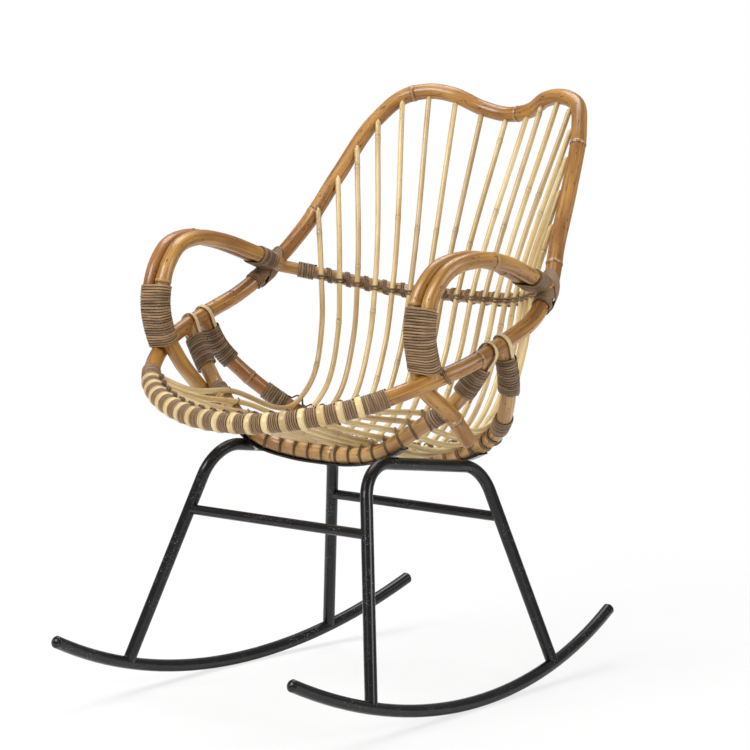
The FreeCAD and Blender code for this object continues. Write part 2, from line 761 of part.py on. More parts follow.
# Hoop: the long pole over the back and down both sides, and the front rim that joins its ends
joint = rim_distance(RIM_JOINT_FROM_CENTRE)
save("back_hoop", pole(hoop_line, -joint, joint, hoop_radius))
save("front_rim", pole(hoop_line, joint, hoop_line.length - joint, hoop_radius))
save("lumbar_rail", pole_to_hoop(lumbar_line, lumbar_radius))

# Armrests
outer_arm = pole(outer_line, 0.0, outer_line.length, arm_radius)
for arm_end in (outer_line.stations[0], outer_line.stations[-1]):
    outer_arm = largest(outer_arm.cut(hoop_cutter(hoop_distance(arm_end))))
arm_joint = hoop_distance(inner_line.stations[0])
rail_cutter = pole(lumbar_line, 0.0, lumbar_line.length, lumbar_radius + SEAT_CLEARANCE)
inner_arm = pole(inner_line, 0.0, inner_line.length, arm_radius)
inner_arm = largest(inner_arm.cut(hoop_cutter(arm_joint)).cut(rail_cutter).cut(nail_shank))
save("arm_outer_left", outer_arm)
save("arm_outer_right", mirror_shape(outer_arm))
save("arm_inner_left", inner_arm)
save("arm_inner_right", mirror_shape(inner_arm))
save("arm_tail_nails", nail, mirror_shape(nail))

# Seat and back canes
for index in range(-SPOKES_EACH_SIDE, SPOKES_EACH_SIDE + 1):
    save(f"spoke_{index + SPOKES_EACH_SIDE + 1:02d}", spoke(index))

# Hooks over the side rails and the wound cane
hooks = [hook(front_cradle_line), hook(rear_cradle_line)]
save("rail_hooks", *hooks, *[mirror_shape(solid) for solid in hooks])
upper_wraps = [
    strut_wrap("front strut wrap", front_cradle_line, FRONT_STRUT_WRAP_TURNS),
    strut_wrap("rear strut wrap", rear_cradle_line, REAR_STRUT_WRAP_TURNS),
]
save("strut_upper_wraps", *upper_wraps, *[mirror_shape(solid) for solid in upper_wraps])
last_front_spoke = front_cradle_line.middle + SPOKES_EACH_SIDE * FRONT_CRADLE_PITCH
last_rear_spoke = rear_cradle_line.middle + SPOKES_EACH_SIDE * REAR_CRADLE_PITCH
lower_wraps = [
    pole_winding("front lower wrap", front_cradle_line, last_front_spoke + FRONT_LOWER_WRAP_FROM_SPOKE,
                 FRONT_LOWER_WRAP_TURNS, STRAND, cradle_radius),
    pole_winding("rear lower wrap", rear_cradle_line, last_rear_spoke + REAR_LOWER_WRAP_FROM_SPOKE,
                 REAR_LOWER_WRAP_TURNS, STRAND, cradle_radius),
]
save("strut_lower_wraps", *lower_wraps, *[mirror_shape(solid) for solid in lower_wraps])
lumbar_at = lumbar_line.middle + SPOKES_EACH_SIDE * LUMBAR_PITCH + LUMBAR_WRAP_FROM_SPOKE
lumbar_wrap = pole_winding("lumbar wrap", lumbar_line, lumbar_at, LUMBAR_WRAP_TURNS, STRAND, lumbar_radius)
save("lumbar_wraps", lumbar_wrap, mirror_shape(lumbar_wrap))

pair_reach = arm_radius + STRAND / 2 + STRAND_CLEARANCE
strand_pitch = STRAND + STRAND_GAP
arm_wrap_at = pair_line.length - ARM_WRAP_FROM_FOOT - ARM_WRAP_TURNS * strand_pitch
arm_wrap = winding("arm wrap", pair_line, arm_wrap_at, ARM_WRAP_TURNS, STRAND, pair_reach,
                   ACROSS, arm_offset.Length, ARM_WRAP_WIDENING)
save("arm_wrap_left", arm_wrap)
save("arm_wrap_right", mirror_shape(arm_wrap))
hoop_lash_at = arm_joint + HOOP_LASH_OFFSET
lashing = [
    winding("arm lashing", pair_line, ARM_LASH_FROM_END, ARM_LASH_TURNS, STRAND, pair_reach,
            ACROSS, arm_offset.Length),
    pole_winding("hoop lashing", hoop_line, hoop_lash_at, HOOP_LASH_TURNS, STRAND, hoop_radius, ACROSS),
]
save("arm_lashing_left", *lashing)
save("arm_lashing_right", *[mirror_shape(solid) for solid in lashing])

thin_pitch = THIN_STRAND + STRAND_GAP
band_room = BAND_WIDTH / 2 + BAND_CLEARANCE + THIN_STRAND / 2
rim_turns = int((RIM_PITCH - 2 * band_room) / thin_pitch)
rim_margin = (RIM_PITCH - rim_turns * thin_pitch) / 2
rim_binding = []
for index in range(SPOKES_EACH_SIDE):
    start = rim_distance((index + 1) * RIM_PITCH - rim_margin)
    rim_binding.append(pole_winding(f"rim binding {index + 1}", hoop_line, start, rim_turns, THIN_STRAND,
                                    hoop_radius))
end_start = rim_distance(SPOKES_EACH_SIDE * RIM_PITCH + band_room + RIM_END_TURNS * thin_pitch)
rim_binding.append(pole_winding("rim end binding", hoop_line, end_start, RIM_END_TURNS, THIN_STRAND,
                                hoop_radius))
save("rim_binding", *rim_binding, *[mirror_shape(solid) for solid in rim_binding])
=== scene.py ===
import math

import bpy
import numpy as np
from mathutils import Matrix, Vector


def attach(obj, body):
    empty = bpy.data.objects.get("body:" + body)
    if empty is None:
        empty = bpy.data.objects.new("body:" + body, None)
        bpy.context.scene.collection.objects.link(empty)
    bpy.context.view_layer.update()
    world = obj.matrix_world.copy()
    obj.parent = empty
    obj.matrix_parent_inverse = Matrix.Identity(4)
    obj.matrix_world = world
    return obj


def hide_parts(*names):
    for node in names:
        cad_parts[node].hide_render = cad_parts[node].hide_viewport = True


# Rattan rocking chair. Metres, floor at z = 0, the chair faces -Y, the sitter's left is +X.
# The station lists are the solids' own, in millimetres.
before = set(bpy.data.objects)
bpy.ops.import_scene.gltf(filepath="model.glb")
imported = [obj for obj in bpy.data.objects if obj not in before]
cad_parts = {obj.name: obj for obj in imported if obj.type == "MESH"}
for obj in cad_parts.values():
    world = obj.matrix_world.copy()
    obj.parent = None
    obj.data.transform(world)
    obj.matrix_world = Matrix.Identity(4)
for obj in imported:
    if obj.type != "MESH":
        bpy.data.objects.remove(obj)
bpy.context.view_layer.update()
MM = 0.001

HOOP_HALF = [
    (0, 422, 906), (50, 416, 915), (96, 397, 936), (136, 385, 942), (180, 366, 932), (211, 330, 894),
    (240, 264, 804), (262, 201, 718), (286, 150, 660), (303, 84, 615), (308, -2, 585), (302, -84, 558),
    (272, -158, 533), (214, -234, 503), (140, -282, 483), (70, -304, 472), (0, -312, 469),
]
FRONT_CRADLE_HALF = [
    (0, -66, 390), (60, -67, 392), (119, -74, 404), (193, -68, 448), (250, -50, 490), (286, -43, 537),
    (306, -39, 572),
]
REAR_CRADLE_HALF = [
    (0, 136, 362), (70, 133, 366), (140, 127, 384), (190, 122, 408), (236, 92, 442), (272, 58, 482),
    (301, 21, 533), (308, -4, 584),
]
LUMBAR_HALF = [
    (0, 297, 610), (61, 292, 611), (121, 274, 615), (176, 246, 625), (228, 206, 639), (292, 146, 660),
]
ARM_LINE = [
    (277, 136, 660), (283, 80, 683), (290, 6, 708), (287, -62, 717), (278.5, -116, 705), (273, -148, 672),
    (270.5, -162.5, 618), (269, -151, 567),
]
OUTER_ARM_FOOT = (281, -138, 538)
INNER_ARM_BEND = (250, -134, 533)
TAIL_CROSSING = 0.273
TAIL_WAY = (0.02, 0.67, -0.74)
TAIL_LENGTH = 0.058

HOOP_RADIUS = 0.013
ARM_RADIUS = 0.0125
CRADLE_RADIUS = 0.0125
LUMBAR_RADIUS = 0.0105
SPOKE_RADIUS = 0.0045
ARM_SPREAD = ARM_RADIUS + 0.0004
SEAT_CLEARANCE = 0.0002
RIM_JOINT = 0.264
SPOKES_EACH_SIDE = 8
RIM_PITCH = 0.0293
FRONT_CRADLE_PITCH = 0.0284
REAR_CRADLE_PITCH = 0.0286
LUMBAR_PITCH = 0.0322
HOOP_PITCH = 0.046
HOOP_PITCH_GROWTH = 0.0013
BAND_HALF_WIDTH = 0.0055
BAND_HALF_THICKNESS = 0.0017
BAND_REACH = HOOP_RADIUS + BAND_HALF_THICKNESS + 0.0004

UP = np.array([0.0, 0.0, 1.0])
ACROSS = np.array([1.0, 0.0, 0.0])
FORWARD = np.array([0.0, -1.0, 0.0])
SPAN_STEPS = 48
WAY_STEP = 0.0008
chance = np.random.default_rng(41)


def unit(vectors):
    return vectors / np.linalg.norm(vectors, axis=-1, keepdims=True)


def square_to(vectors, ways):
    """What is left of vectors once their part along the ways is taken off, as unit vectors."""
    along = np.sum(vectors * ways, axis=-1, keepdims=True)
    return unit(vectors - along * ways)


def smooth(values):
    """The step 3t^2 - 2t^3 of values held between 0 and 1."""
    held = np.clip(values, 0.0, 1.0)
    return held * held * (3 - 2 * held)


class Line:
    """Path through stations: in each span p(u) is the cubic through both stations whose end slopes weigh
    the chords before and after by each other's length. Distances run along a fine sampling of it."""

    def __init__(self, stations, closed=False):
        knots = np.array(stations, float)
        if closed:
            knots = np.vstack([knots[-2:], knots, knots[:3]])
        steps = np.diff(knots, axis=0)
        chords = np.linalg.norm(steps, axis=1)[:, None]
        before, after = chords[:-1], chords[1:]
        inner = (steps[:-1] * after / before + steps[1:] * before / after) / (before + after)
        first = 1.5 * steps[0] / chords[0] - 0.5 * inner[0]
        last = 1.5 * steps[-1] / chords[-1] - 0.5 * inner[-1]
        slopes = np.vstack([first, inner, last])
        u = np.linspace(0, 1, SPAN_STEPS, endpoint=False)[None, :, None]
        spans = (knots[:-1, None] * (1 + 2 * u) * (1 - u) ** 2
                 + slopes[:-1, None] * chords[:, None] * u * (1 - u) ** 2
                 + knots[1:, None] * u * u * (3 - 2 * u)
                 + slopes[1:, None] * chords[:, None] * u * u * (u - 1))
        if closed:
            spans = spans[2:-2]
        points = spans.reshape(-1, 3)
        self.points = np.vstack([points, knots[-3] if closed else knots[-1]])
        gaps = np.linalg.norm(np.diff(self.points, axis=0), axis=1)
        self.distances = np.concatenate([[0.0], np.cumsum(gaps)])
        self.length = self.distances[-1]
        self.middle = self.length / 2
        self.closed = closed

    def at(self, distance):
        held = np.mod(distance, self.length) if self.closed else distance
        return np.stack([np.interp(held, self.distances, self.points[:, k]) for k in range(3)], axis=-1)

    def way(self, distance):
        return unit(self.at(distance + WAY_STEP) - self.at(distance - WAY_STEP))

    def nearest(self, point):
        """Distance along the line, in its first half, of the place nearest to a point."""
        half = self.distances <= self.middle
        return self.distances[half][np.argmin(np.linalg.norm(self.points[half] - point, axis=1))]


def both_halves(half):
    """Stations in metres of a symmetric line, from its -X end to its +X end."""
    right = np.array(half, float) * MM
    return np.vstack([right[:0:-1] * (-1, 1, 1), right])


right_hoop = np.array(HOOP_HALF, float) * MM
hoop = Line(np.vstack([right_hoop, right_hoop[-2:0:-1] * (-1, 1, 1)]), closed=True)


def line_to_hoop(half):
    """A symmetric line whose ends lie on the hoop's axis."""
    end = hoop.at(hoop.nearest(np.array(half[-1]) * MM)) / MM
    return Line(both_halves(half[:-1] + [tuple(end)]))


front_cradle = line_to_hoop(FRONT_CRADLE_HALF)
rear_cradle = line_to_hoop(REAR_CRADLE_HALF)
lumbar = line_to_hoop(LUMBAR_HALF)


def seat_on(line, distance, way, reach, toward):
    """A point at a reach from a line, square to it and to the way of what crosses it."""
    normal = unit(np.cross(line.way(distance), way))
    return line.at(distance) + normal * reach * np.sign(normal @ toward)


def rim_place(from_centre):
    return hoop.middle - from_centre


# Meshes

class Part:
    """Vertices, faces, a UV for each face corner and a node distance for each vertex of one surface."""

    def __init__(self, vertices, faces, uvs, node_gaps):
        self.vertices = vertices
        self.faces = faces
        self.uvs = uvs
        self.node_gaps = node_gaps


def swept(points, wide, half_wide, half_thick, around=16, squareness=1.0, closed=False, node_gaps=None,
          run=None):
    """A profile carried along a path: point + a*c(t)*W + b*s(t)*N, where W is the wide way made square to the
    path, N completes the frame, a and b are the half sizes and c, s are cos t and sin t raised to the
    squareness with their signs kept. The UV is the share of a turn and the distance along the path."""
    count = len(points)
    if closed:
        ways = unit(np.roll(points, -1, axis=0) - np.roll(points, 1, axis=0))
    else:
        ways = unit(np.gradient(points, axis=0))
    across = square_to(np.broadcast_to(wide, points.shape), ways)
    normal = np.cross(ways, across)
    turn = np.linspace(0, 2 * np.pi, around, endpoint=False)
    power = np.broadcast_to(squareness, count)[:, None]
    c = np.sign(np.cos(turn)) * np.abs(np.cos(turn)) ** power
    s = np.sign(np.sin(turn)) * np.abs(np.sin(turn)) ** power
    a = np.broadcast_to(half_wide, count)[:, None] * c
    b = np.broadcast_to(half_thick, count)[:, None] * s
    rings = points[:, None] + a[..., None] * across[:, None] + b[..., None] * normal[:, None]
    if run is None:
        gaps = np.linalg.norm(np.diff(points, axis=0), axis=1)
        run = np.concatenate([[0.0], np.cumsum(gaps)])
    i, j = np.meshgrid(np.arange(count if closed else count - 1), np.arange(around), indexing="ij")
    i, j = i.ravel(), j.ravel()
    up = (i + 1) % count
    side = (j + 1) % around
    quads = np.stack([i * around + j, i * around + side, up * around + side, up * around + j], axis=1)
    top_run = np.where(up == 0, run[-1] + (run[1] - run[0]), run[up])
    u0, u1 = j / around, (j + 1) / around
    corners = [(u0, run[i]), (u1, run[i]), (u1, top_run), (u0, top_run)]
    uvs = np.stack([np.stack(corner, axis=-1) for corner in corners], axis=1).reshape(-1, 2)
    faces = quads.tolist()
    if not closed:
        ring = np.arange(around)
        faces += [ring[::-1].tolist(), (ring + (count - 1) * around).tolist()]
        ends = np.column_stack([np.zeros(2 * around), np.repeat([run[0], run[-1]], around)])
        uvs = np.vstack([uvs, ends])
    far = np.full(count, 1.0) if node_gaps is None else node_gaps
    return Part(rings.reshape(-1, 3), faces, uvs, np.repeat(far, around))


def joined(parts):
    """Several surfaces as one, their face indices moved on."""
    starts = np.cumsum([0] + [len(part.vertices) for part in parts])
    faces = [[corner + int(start) for corner in face]
             for part, start in zip(parts, starts) for face in part.faces]
    return Part(
        np.vstack([part.vertices for part in parts]),
        faces,
        np.vstack([part.uvs for part in parts]),
        np.concatenate([part.node_gaps for part in parts]),
    )


def piece(name, part, finish, slot, *nodes):
    """One object of the chair from a surface, standing for the named solids."""
    mesh = bpy.data.meshes.new(name)
    mesh.from_pydata(part.vertices.tolist(), [], part.faces)
    layer = mesh.uv_layers.new(name="length")
    layer.data.foreach_set("uv", part.uvs.astype(np.float32).ravel())
    gaps = mesh.attributes.new("node_gap", "FLOAT", "POINT")
    gaps.data.foreach_set("value", part.node_gaps.astype(np.float32))
    mesh.polygons.foreach_set("use_smooth", np.array([len(face) == 4 for face in part.faces]))
    mesh.materials.append(finish)
    mesh.update()
    made = bpy.data.objects.new(name, mesh)
    bpy.context.scene.collection.objects.link(made)
    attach(made, "root")
    if nodes:
        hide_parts(*nodes)
    return made


# Canes and poles
RIDGE_LENGTH = 0.0022
COLLAR_LENGTH = 0.011
COLLAR_SHARE = 0.55
WAIST_PLACE = 0.0055
WAIST_LENGTH = 0.0026
WAIST_SHARE = 0.35
POLE_STEP = 0.006
POLE_WAVE = 0.0002
POLE_WAVE_RATE = 23.0
POLE_WAVE_PHASE = 90.0
CUT_ROUNDING = 0.0015
CUT_EDGE_SHARE = 0.93
STRAND_FILL = 0.48
STRAND_HALF_THICKNESS = 0.0013
STRAND_SQUARENESS = 0.85
STRAND_WOBBLE = 0.00015
TIE_WIDTH_SHARE = 1.15
TIE_THICKNESS_SHARE = 0.8


def node_distance(run, nodes):
    """Signed distance from each place to its nearest cane node."""
    apart = run[:, None] - np.asarray(nodes)[None, :]
    return apart[np.arange(len(run)), np.argmin(np.abs(apart), axis=1)]


def cane_swelling(gap, height):
    """Radius added at a node: a narrow ridge, a low collar, and a slight waist just above the ridge."""
    ridge = np.exp(-(gap / RIDGE_LENGTH) ** 2)
    collar = COLLAR_SHARE * np.exp(-(gap / COLLAR_LENGTH) ** 2)
    waist = -WAIST_SHARE * np.exp(-((gap - WAIST_PLACE) / WAIST_LENGTH) ** 2)
    return height * (ridge + collar + waist)


def cane_places(start, end, nodes, step):
    """Distances along a pole: even steps, with more of them about each node."""
    even = np.linspace(start, end, int((end - start) / step) + 2)
    about = np.array([-12, -8, -5.5, -4, -2.8, -1.6, -0.7, 0, 0.7, 1.6, 2.8, 4, 5.5, 8, 12]) * MM
    extra = (np.asarray(nodes)[:, None] + about).ravel()
    extra = extra[(extra > start) & (extra < end)]
    return np.unique(np.concatenate([even, extra]).round(5))


def rounded_end(run, end, depth):
    """Radius factor that breaks the edge of a cut end over a depth, as a quarter of an ellipse."""
    near = np.clip(1 - np.abs(end - run) / depth, 0.0, 1.0)
    return CUT_EDGE_SHARE + (1 - CUT_EDGE_SHARE) * np.sqrt(1 - near ** 2)


def cane_pole(line, start, end, radius, nodes, centre, swelling=0.0008, cut_end=False):
    """A round pole along a line, swollen at its nodes; its frame points away from the centre given."""
    run = cane_places(start, end, nodes, POLE_STEP)
    gap = node_distance(run, nodes)
    points = line.at(run)
    wave = POLE_WAVE * np.sin(run * POLE_WAVE_RATE + nodes[0] * POLE_WAVE_PHASE)
    size = radius + cane_swelling(gap, swelling) + wave
    if cut_end:
        size = size * rounded_end(run, end, CUT_ROUNDING)
    return swept(points, points - np.asarray(centre), size, size, 36, node_gaps=gap, run=run)


def node_row(start, end, first, spacing, spread):
    """Places of a pole's nodes: a spacing with a seeded spread, from a first place on."""
    count = int((end - start - first) / spacing) + 1
    return start + first + spacing * np.arange(count) + chance.uniform(-spread, spread, count)


def wound(line, start, turns, pitch, reach, side, spread=0.0, half_wide=None,
          half_thick=STRAND_HALF_THICKNESS, steps=40, widening=0.0):
    """A flat strand wound round a line: its axis stays at reach from the pole's, and round two poles it
    follows a stadium whose straight runs are four times the spread together. The spread gains the widening
    towards the last turn, as the fourth power of the turns made."""
    quarter = np.pi * reach / 2
    stops = np.cumsum([0, quarter, 2 * spread, 2 * quarter, 2 * spread, quarter])
    turn = np.linspace(0, turns, int(turns * steps) + 1)
    travelled = np.mod(turn, 1.0) * stops[-1]
    travelled[-1] = stops[-1] if float(turns).is_integer() else travelled[-1]
    angle = np.interp(travelled, stops, np.radians([0, 90, 90, 270, 270, 360]))[:, None]
    half = np.interp(travelled, stops, [1, 1, -1, -1, 1, 1])[:, None]
    place = start + pitch * turn
    ways = line.way(place)
    out = square_to(np.broadcast_to(side, ways.shape), ways)
    over = np.cross(ways, out)
    radial = out * np.cos(angle) + over * np.sin(angle)
    wobble = STRAND_WOBBLE * np.sin(turn * 2 * np.pi * 1.37 + start * 700)[:, None]
    wider = widening * (turn / turns)[:, None] ** 4
    points = line.at(place) + out * (half * (spread + wider)) + radial * (reach + wobble)
    wide = STRAND_FILL * pitch if half_wide is None else half_wide
    across = np.cross(radial, np.gradient(points, axis=0))
    return swept(points, across, wide, half_thick, 8, STRAND_SQUARENESS)


def hull_loop(pole_radius, lift, top_radius, samples=14):
    """Taut loop round two circles: the arc over the small one at a lift, then the arc round the pole. Gives
    sideways and upward offsets, and the angle of each point's normal from straight up."""
    corner = math.acos((pole_radius - top_radius) / lift)
    above = np.linspace(-corner, corner, samples)
    below = np.linspace(corner, 2 * np.pi - corner, 2 * samples)
    angle = np.concatenate([above, below])
    radius = np.concatenate([np.full(samples, top_radius), np.full(2 * samples, pole_radius)])
    height = np.concatenate([np.full(samples, lift), np.zeros(2 * samples)])
    return radius * np.sin(angle), height + radius * np.cos(angle), angle


def tie(line, distance, toward, pole_radius, slant, strand):
    """A closed loop of strand round a pole and the cane on it: the hull loop, moved along the pole by
    slant times the sine of its angle."""
    way = line.way(distance)
    up = square_to(toward, way)
    aside = np.cross(way, up)
    lift = pole_radius + SPOKE_RADIUS
    sideways, upward, angle = hull_loop(pole_radius + strand, lift, SPOKE_RADIUS + strand)
    points = (line.at(distance) + sideways[:, None] * aside + upward[:, None] * up
              + (slant * np.sin(angle))[:, None] * way)
    normals = np.sin(angle)[:, None] * aside + np.cos(angle)[:, None] * up
    ways = np.roll(points, -1, axis=0) - np.roll(points, 1, axis=0)
    return swept(points, np.cross(normals, ways), strand * TIE_WIDTH_SHARE, strand * TIE_THICKNESS_SHARE, 6,
                 closed=True)


# Finishes

class Shade:
    """A value in a material; arithmetic on it adds Math nodes."""

    def __init__(self, finish, socket):
        self.finish = finish
        self.socket = socket

    def maths(self, operation, *values):
        return self.finish.node("ShaderNodeMath", {"operation": operation}, dict(enumerate(values)))

    def __add__(self, other):
        return self.maths("ADD", self, other)

    def __radd__(self, other):
        return self.maths("ADD", other, self)

    def __sub__(self, other):
        return self.maths("SUBTRACT", self, other)

    def __rsub__(self, other):
        return self.maths("SUBTRACT", other, self)

    def __mul__(self, other):
        return self.maths("MULTIPLY", self, other)

    def __rmul__(self, other):
        return self.maths("MULTIPLY", other, self)

    def __truediv__(self, other):
        return self.maths("DIVIDE", self, other)

    def __abs__(self):
        return self.maths("ABSOLUTE", self)

    def sine(self):
        return self.maths("SINE", self)

    def cosine(self):
        return self.maths("COSINE", self)

    def least(self, other):
        return self.maths("MINIMUM", self, other)

    def most(self, other):
        return self.maths("MAXIMUM", self, other)

    def rise(self, low, high):
        """0 below low, 1 above high, and a smooth step between them."""
        settings = {"interpolation_type": "SMOOTHSTEP"}
        sockets = {"Value": self, "From Min": low, "From Max": high}
        return self.finish.node("ShaderNodeMapRange", settings, sockets)


class Finish:
    """A material that is being made, with the coordinates its pieces offer."""

    def __init__(self, name):
        self.material = bpy.data.materials.new(name)
        self.material.use_nodes = True
        self.tree = self.material.node_tree
        self.tree.nodes.clear()

    def node(self, kind, settings=None, sockets=None, output=0):
        """Adds a node, sets its settings, then fills or links its sockets, and gives one output."""
        made = self.tree.nodes.new(kind)
        for key, value in (settings or {}).items():
            setattr(made, key, value)
        for key, value in (sockets or {}).items():
            if isinstance(value, Shade):
                self.tree.links.new(value.socket, made.inputs[key])
            else:
                made.inputs[key].default_value = value
        return Shade(self, made.outputs[output])

    def around_and_along(self):
        """A cane's own coordinates: the share of a turn round it and the metres along it."""
        uv = self.node("ShaderNodeUVMap", {"uv_map": "length"})
        return [self.node("ShaderNodeSeparateXYZ", None, {0: uv}, output) for output in (0, 1)]

    def ring_vector(self, around, along, turn_size, run_size, shift=0.0):
        """A point on a cylinder, so that a pattern closes round the cane."""
        angle = around * (2 * math.pi)
        sockets = {0: angle.cosine() * turn_size, 1: angle.sine() * turn_size, 2: along * run_size + shift}
        return self.node("ShaderNodeCombineXYZ", None, sockets)

    def noise(self, vector, scale=1.0, detail=3.0, roughness=0.55):
        sockets = {"Vector": vector, "Scale": scale, "Detail": detail, "Roughness": roughness}
        return self.node("ShaderNodeTexNoise", None, sockets)

    def object_noise(self, scale, detail=3.0):
        place = self.node("ShaderNodeTexCoord", output=3)
        return self.noise(place, scale, detail)

    def mix(self, share, first, second):
        sockets = {0: share, 6: self.colour(first), 7: self.colour(second)}
        return self.node("ShaderNodeMix", {"data_type": "RGBA"}, sockets, 2)

    def colour(self, value):
        return value if isinstance(value, Shade) else (*value, 1.0)

    def bump(self, height, distance, strength=1.0):
        sockets = {"Strength": strength, "Distance": distance, "Height": height}
        return self.node("ShaderNodeBump", None, sockets)

    def done(self, **sockets):
        """The surface shader and the output; keys are socket names with _ for spaces."""
        named = {key.replace("_", " "): value for key, value in sockets.items()}
        named["Base Color"] = self.colour(named["Base Color"])
        surface = self.node("ShaderNodeBsdfPrincipled", None, named)
        self.node_output(surface)
        return self.material

    def node_output(self, surface):
        made = self.tree.nodes.new("ShaderNodeOutputMaterial")
        self.tree.links.new(surface.socket, made.inputs["Surface"])


SPECK_TONE = (0.055, 0.026, 0.011)
GROOVE_TONE = (0.07, 0.034, 0.014)
RUDDY_LIGHT = (0.40, 0.168, 0.046)
RUDDY_DEEP = (0.22, 0.078, 0.020)


def cane_finish(name, light, deep, ring, speck_share=0.69, streak=0.5, shine=0.38, shift=0.0, mark=0.8,
                ruddy=None):
    """Varnished cane: long streaks between a light and a deep tone, cloudy patches, dark specks and
    scratches along the length, and at each node a pale ridge with a dark line beside it. A ruddy stretch
    from the start, which fades between two distances along it, is deeper and redder."""
    f = Finish(name)
    around, along = f.around_and_along()
    gap = f.node("ShaderNodeAttribute", {"attribute_name": "node_gap"}, None, 2)
    streaks = f.noise(f.ring_vector(around, along, 3.2, 7.0, shift), 1.0, 4.0, 0.6)
    clouds = f.noise(f.ring_vector(around, along, 0.55, 9.0, shift + 3.7), 1.0, 2.0)
    fibres = f.noise(f.ring_vector(around, along, 13.0, 16.0, shift + 1.3), 1.0, 2.0)
    dots = f.noise(f.ring_vector(around, along, 3.2, 95.0, shift + 8.1), 1.0, 1.0)
    dashes = f.noise(f.ring_vector(around, along, 5.0, 48.0, shift + 5.9), 1.0, 2.0)
    tone = (streaks * streak + clouds * (1 - streak)).rise(0.40, 0.60)
    base = f.mix(tone, light, deep)
    if ruddy is not None:
        base = f.mix(1 - along.rise(*ruddy), base, f.mix(tone, RUDDY_LIGHT, RUDDY_DEEP))
    base = f.mix(fibres.rise(0.50, 0.70) * 0.38, base, [channel * 0.62 for channel in deep])
    scratches = dashes.rise(speck_share + 0.02, speck_share + 0.09) * 0.7
    specks = dots.rise(speck_share, speck_share + 0.05).most(scratches)
    base = f.mix(specks * 0.8, base, SPECK_TONE)
    collar = (1 - (abs(gap) / 0.02).least(1.0)) * fibres.rise(0.3, 0.6)
    base = f.mix(collar * 0.35, base, [channel * 0.55 for channel in deep])
    ridge = 1 - abs(gap).rise(0.0012, 0.0024)
    groove = (1 - abs(gap - 0.0042).rise(0.0006, 0.0018)) * dashes.rise(0.35, 0.5)
    base = f.mix(ridge * 0.4, base, ring)
    base = f.mix(groove * mark, base, GROOVE_TONE)
    height = fibres * 0.35 + streaks * 0.3 - specks * 0.5 - groove * 0.8
    return f.done(
        Base_Color=base,
        Roughness=0.3 + fibres * 0.16 + specks * 0.2,
        Coat_Weight=shine * (1 - specks * 0.6),
        Coat_Roughness=0.16,
        Normal=f.bump(height, 0.0006, 0.5),
    )


def strand_finish(name, light, deep, shine=0.25):
    """Flat wound strand: dull skin with streaks along it, darker along some fibres, and with painted shade at
    its edges, where the turns meet.
    """
    f = Finish(name)
    around, along = f.around_and_along()
    streaks = f.noise(f.ring_vector(around, along, 2.0, 24.0), 1.0, 3.0)
    patches = f.noise(f.ring_vector(around, along, 0.2, 9.0, 4.2), 1.0, 2.0)
    fibres = f.noise(f.ring_vector(around, along, 7.0, 60.0, 2.2), 1.0, 2.0)
    # Painted shade: the strand's edges, where the turns meet, are given a darker colour; the coat is thinner
    # there too.
    painted_edge_shade = abs((around * (2 * math.pi)).cosine()).rise(0.78, 1.0)
    tone = (streaks * 0.45 + patches * 0.55).rise(0.40, 0.60)
    base = f.mix(tone, light, deep)
    # Painted shade at the strand's edges, mixed towards a dark share of the deep tone.
    base = f.mix(painted_edge_shade * 0.9, base, [channel * 0.22 for channel in deep])
    base = f.mix(fibres.rise(0.55, 0.8) * 0.35, base, [channel * 0.5 for channel in deep])
    return f.done(
        Base_Color=base,
        Roughness=0.42 + fibres * 0.25,
        Coat_Weight=shine * (1 - painted_edge_shade),
        Coat_Roughness=0.25,
        Normal=f.bump(fibres * 0.6 + streaks * 0.4, 0.0004, 0.6),
    )


def steel_finish(name, base_tone, worn_tone):
    """Black paint on steel: satin, slightly uneven, with small pale chips and dust flecks."""
    f = Finish(name)
    uneven = f.object_noise(38.0)
    chips = f.object_noise(520.0, 1.0)
    where = f.object_noise(22.0, 2.0)
    flecks = chips.rise(0.67, 0.72) * where.rise(0.46, 0.62)
    dust = f.object_noise(160.0, 4.0)
    base = f.mix(dust.rise(0.5, 0.85) * 0.4, base_tone, [channel * 2.2 for channel in base_tone])
    base = f.mix(flecks * 0.85, base, worn_tone)
    return f.done(
        Base_Color=base,
        Roughness=0.17 + uneven * 0.12 + flecks * 0.25,
        Specular_IOR_Level=0.4,
        Normal=f.bump(uneven * 0.5 + dust * 0.2 - flecks, 0.0005, 0.35),
    )


def plated_finish(name):
    """Dull plated steel with fine wear and a few darker stains."""
    f = Finish(name)
    grain = f.object_noise(900.0)
    stains = f.object_noise(120.0)
    base = f.mix(stains.rise(0.45, 0.7), (0.62, 0.60, 0.56), (0.30, 0.28, 0.25))
    return f.done(
        Base_Color=base,
        Metallic=0.9,
        Roughness=0.32 + grain * 0.2,
        Normal=f.bump(grain, 0.0003, 0.3),
    )


HONEY = cane_finish("honey_cane", (0.50, 0.245, 0.048), (0.25, 0.098, 0.015), (0.55, 0.33, 0.11),
                    speck_share=0.655)
HONEY_ARM = cane_finish("honey_arm_cane", (0.53, 0.275, 0.058), (0.28, 0.118, 0.020), (0.56, 0.35, 0.12),
                        speck_share=0.67, shift=11.0)
RUDDY_ARM = cane_finish("ruddy_arm_cane", (0.42, 0.180, 0.042), (0.23, 0.082, 0.017), (0.50, 0.28, 0.10),
                        shift=17.0)
TAN = cane_finish("tan_cane", (0.56, 0.335, 0.120), (0.35, 0.175, 0.052), (0.60, 0.40, 0.17), shift=23.0)
RUDDY_TAN = cane_finish("ruddy_tan_cane", (0.56, 0.325, 0.112), (0.34, 0.165, 0.048), (0.58, 0.38, 0.16),
                        shift=29.0, ruddy=(0.24, 0.36))
PALE = cane_finish("pale_cane", (0.80, 0.63, 0.32), (0.62, 0.43, 0.175), (0.62, 0.45, 0.22),
                   speck_share=0.72, streak=0.35, shine=0.3, shift=31.0, mark=0.4)
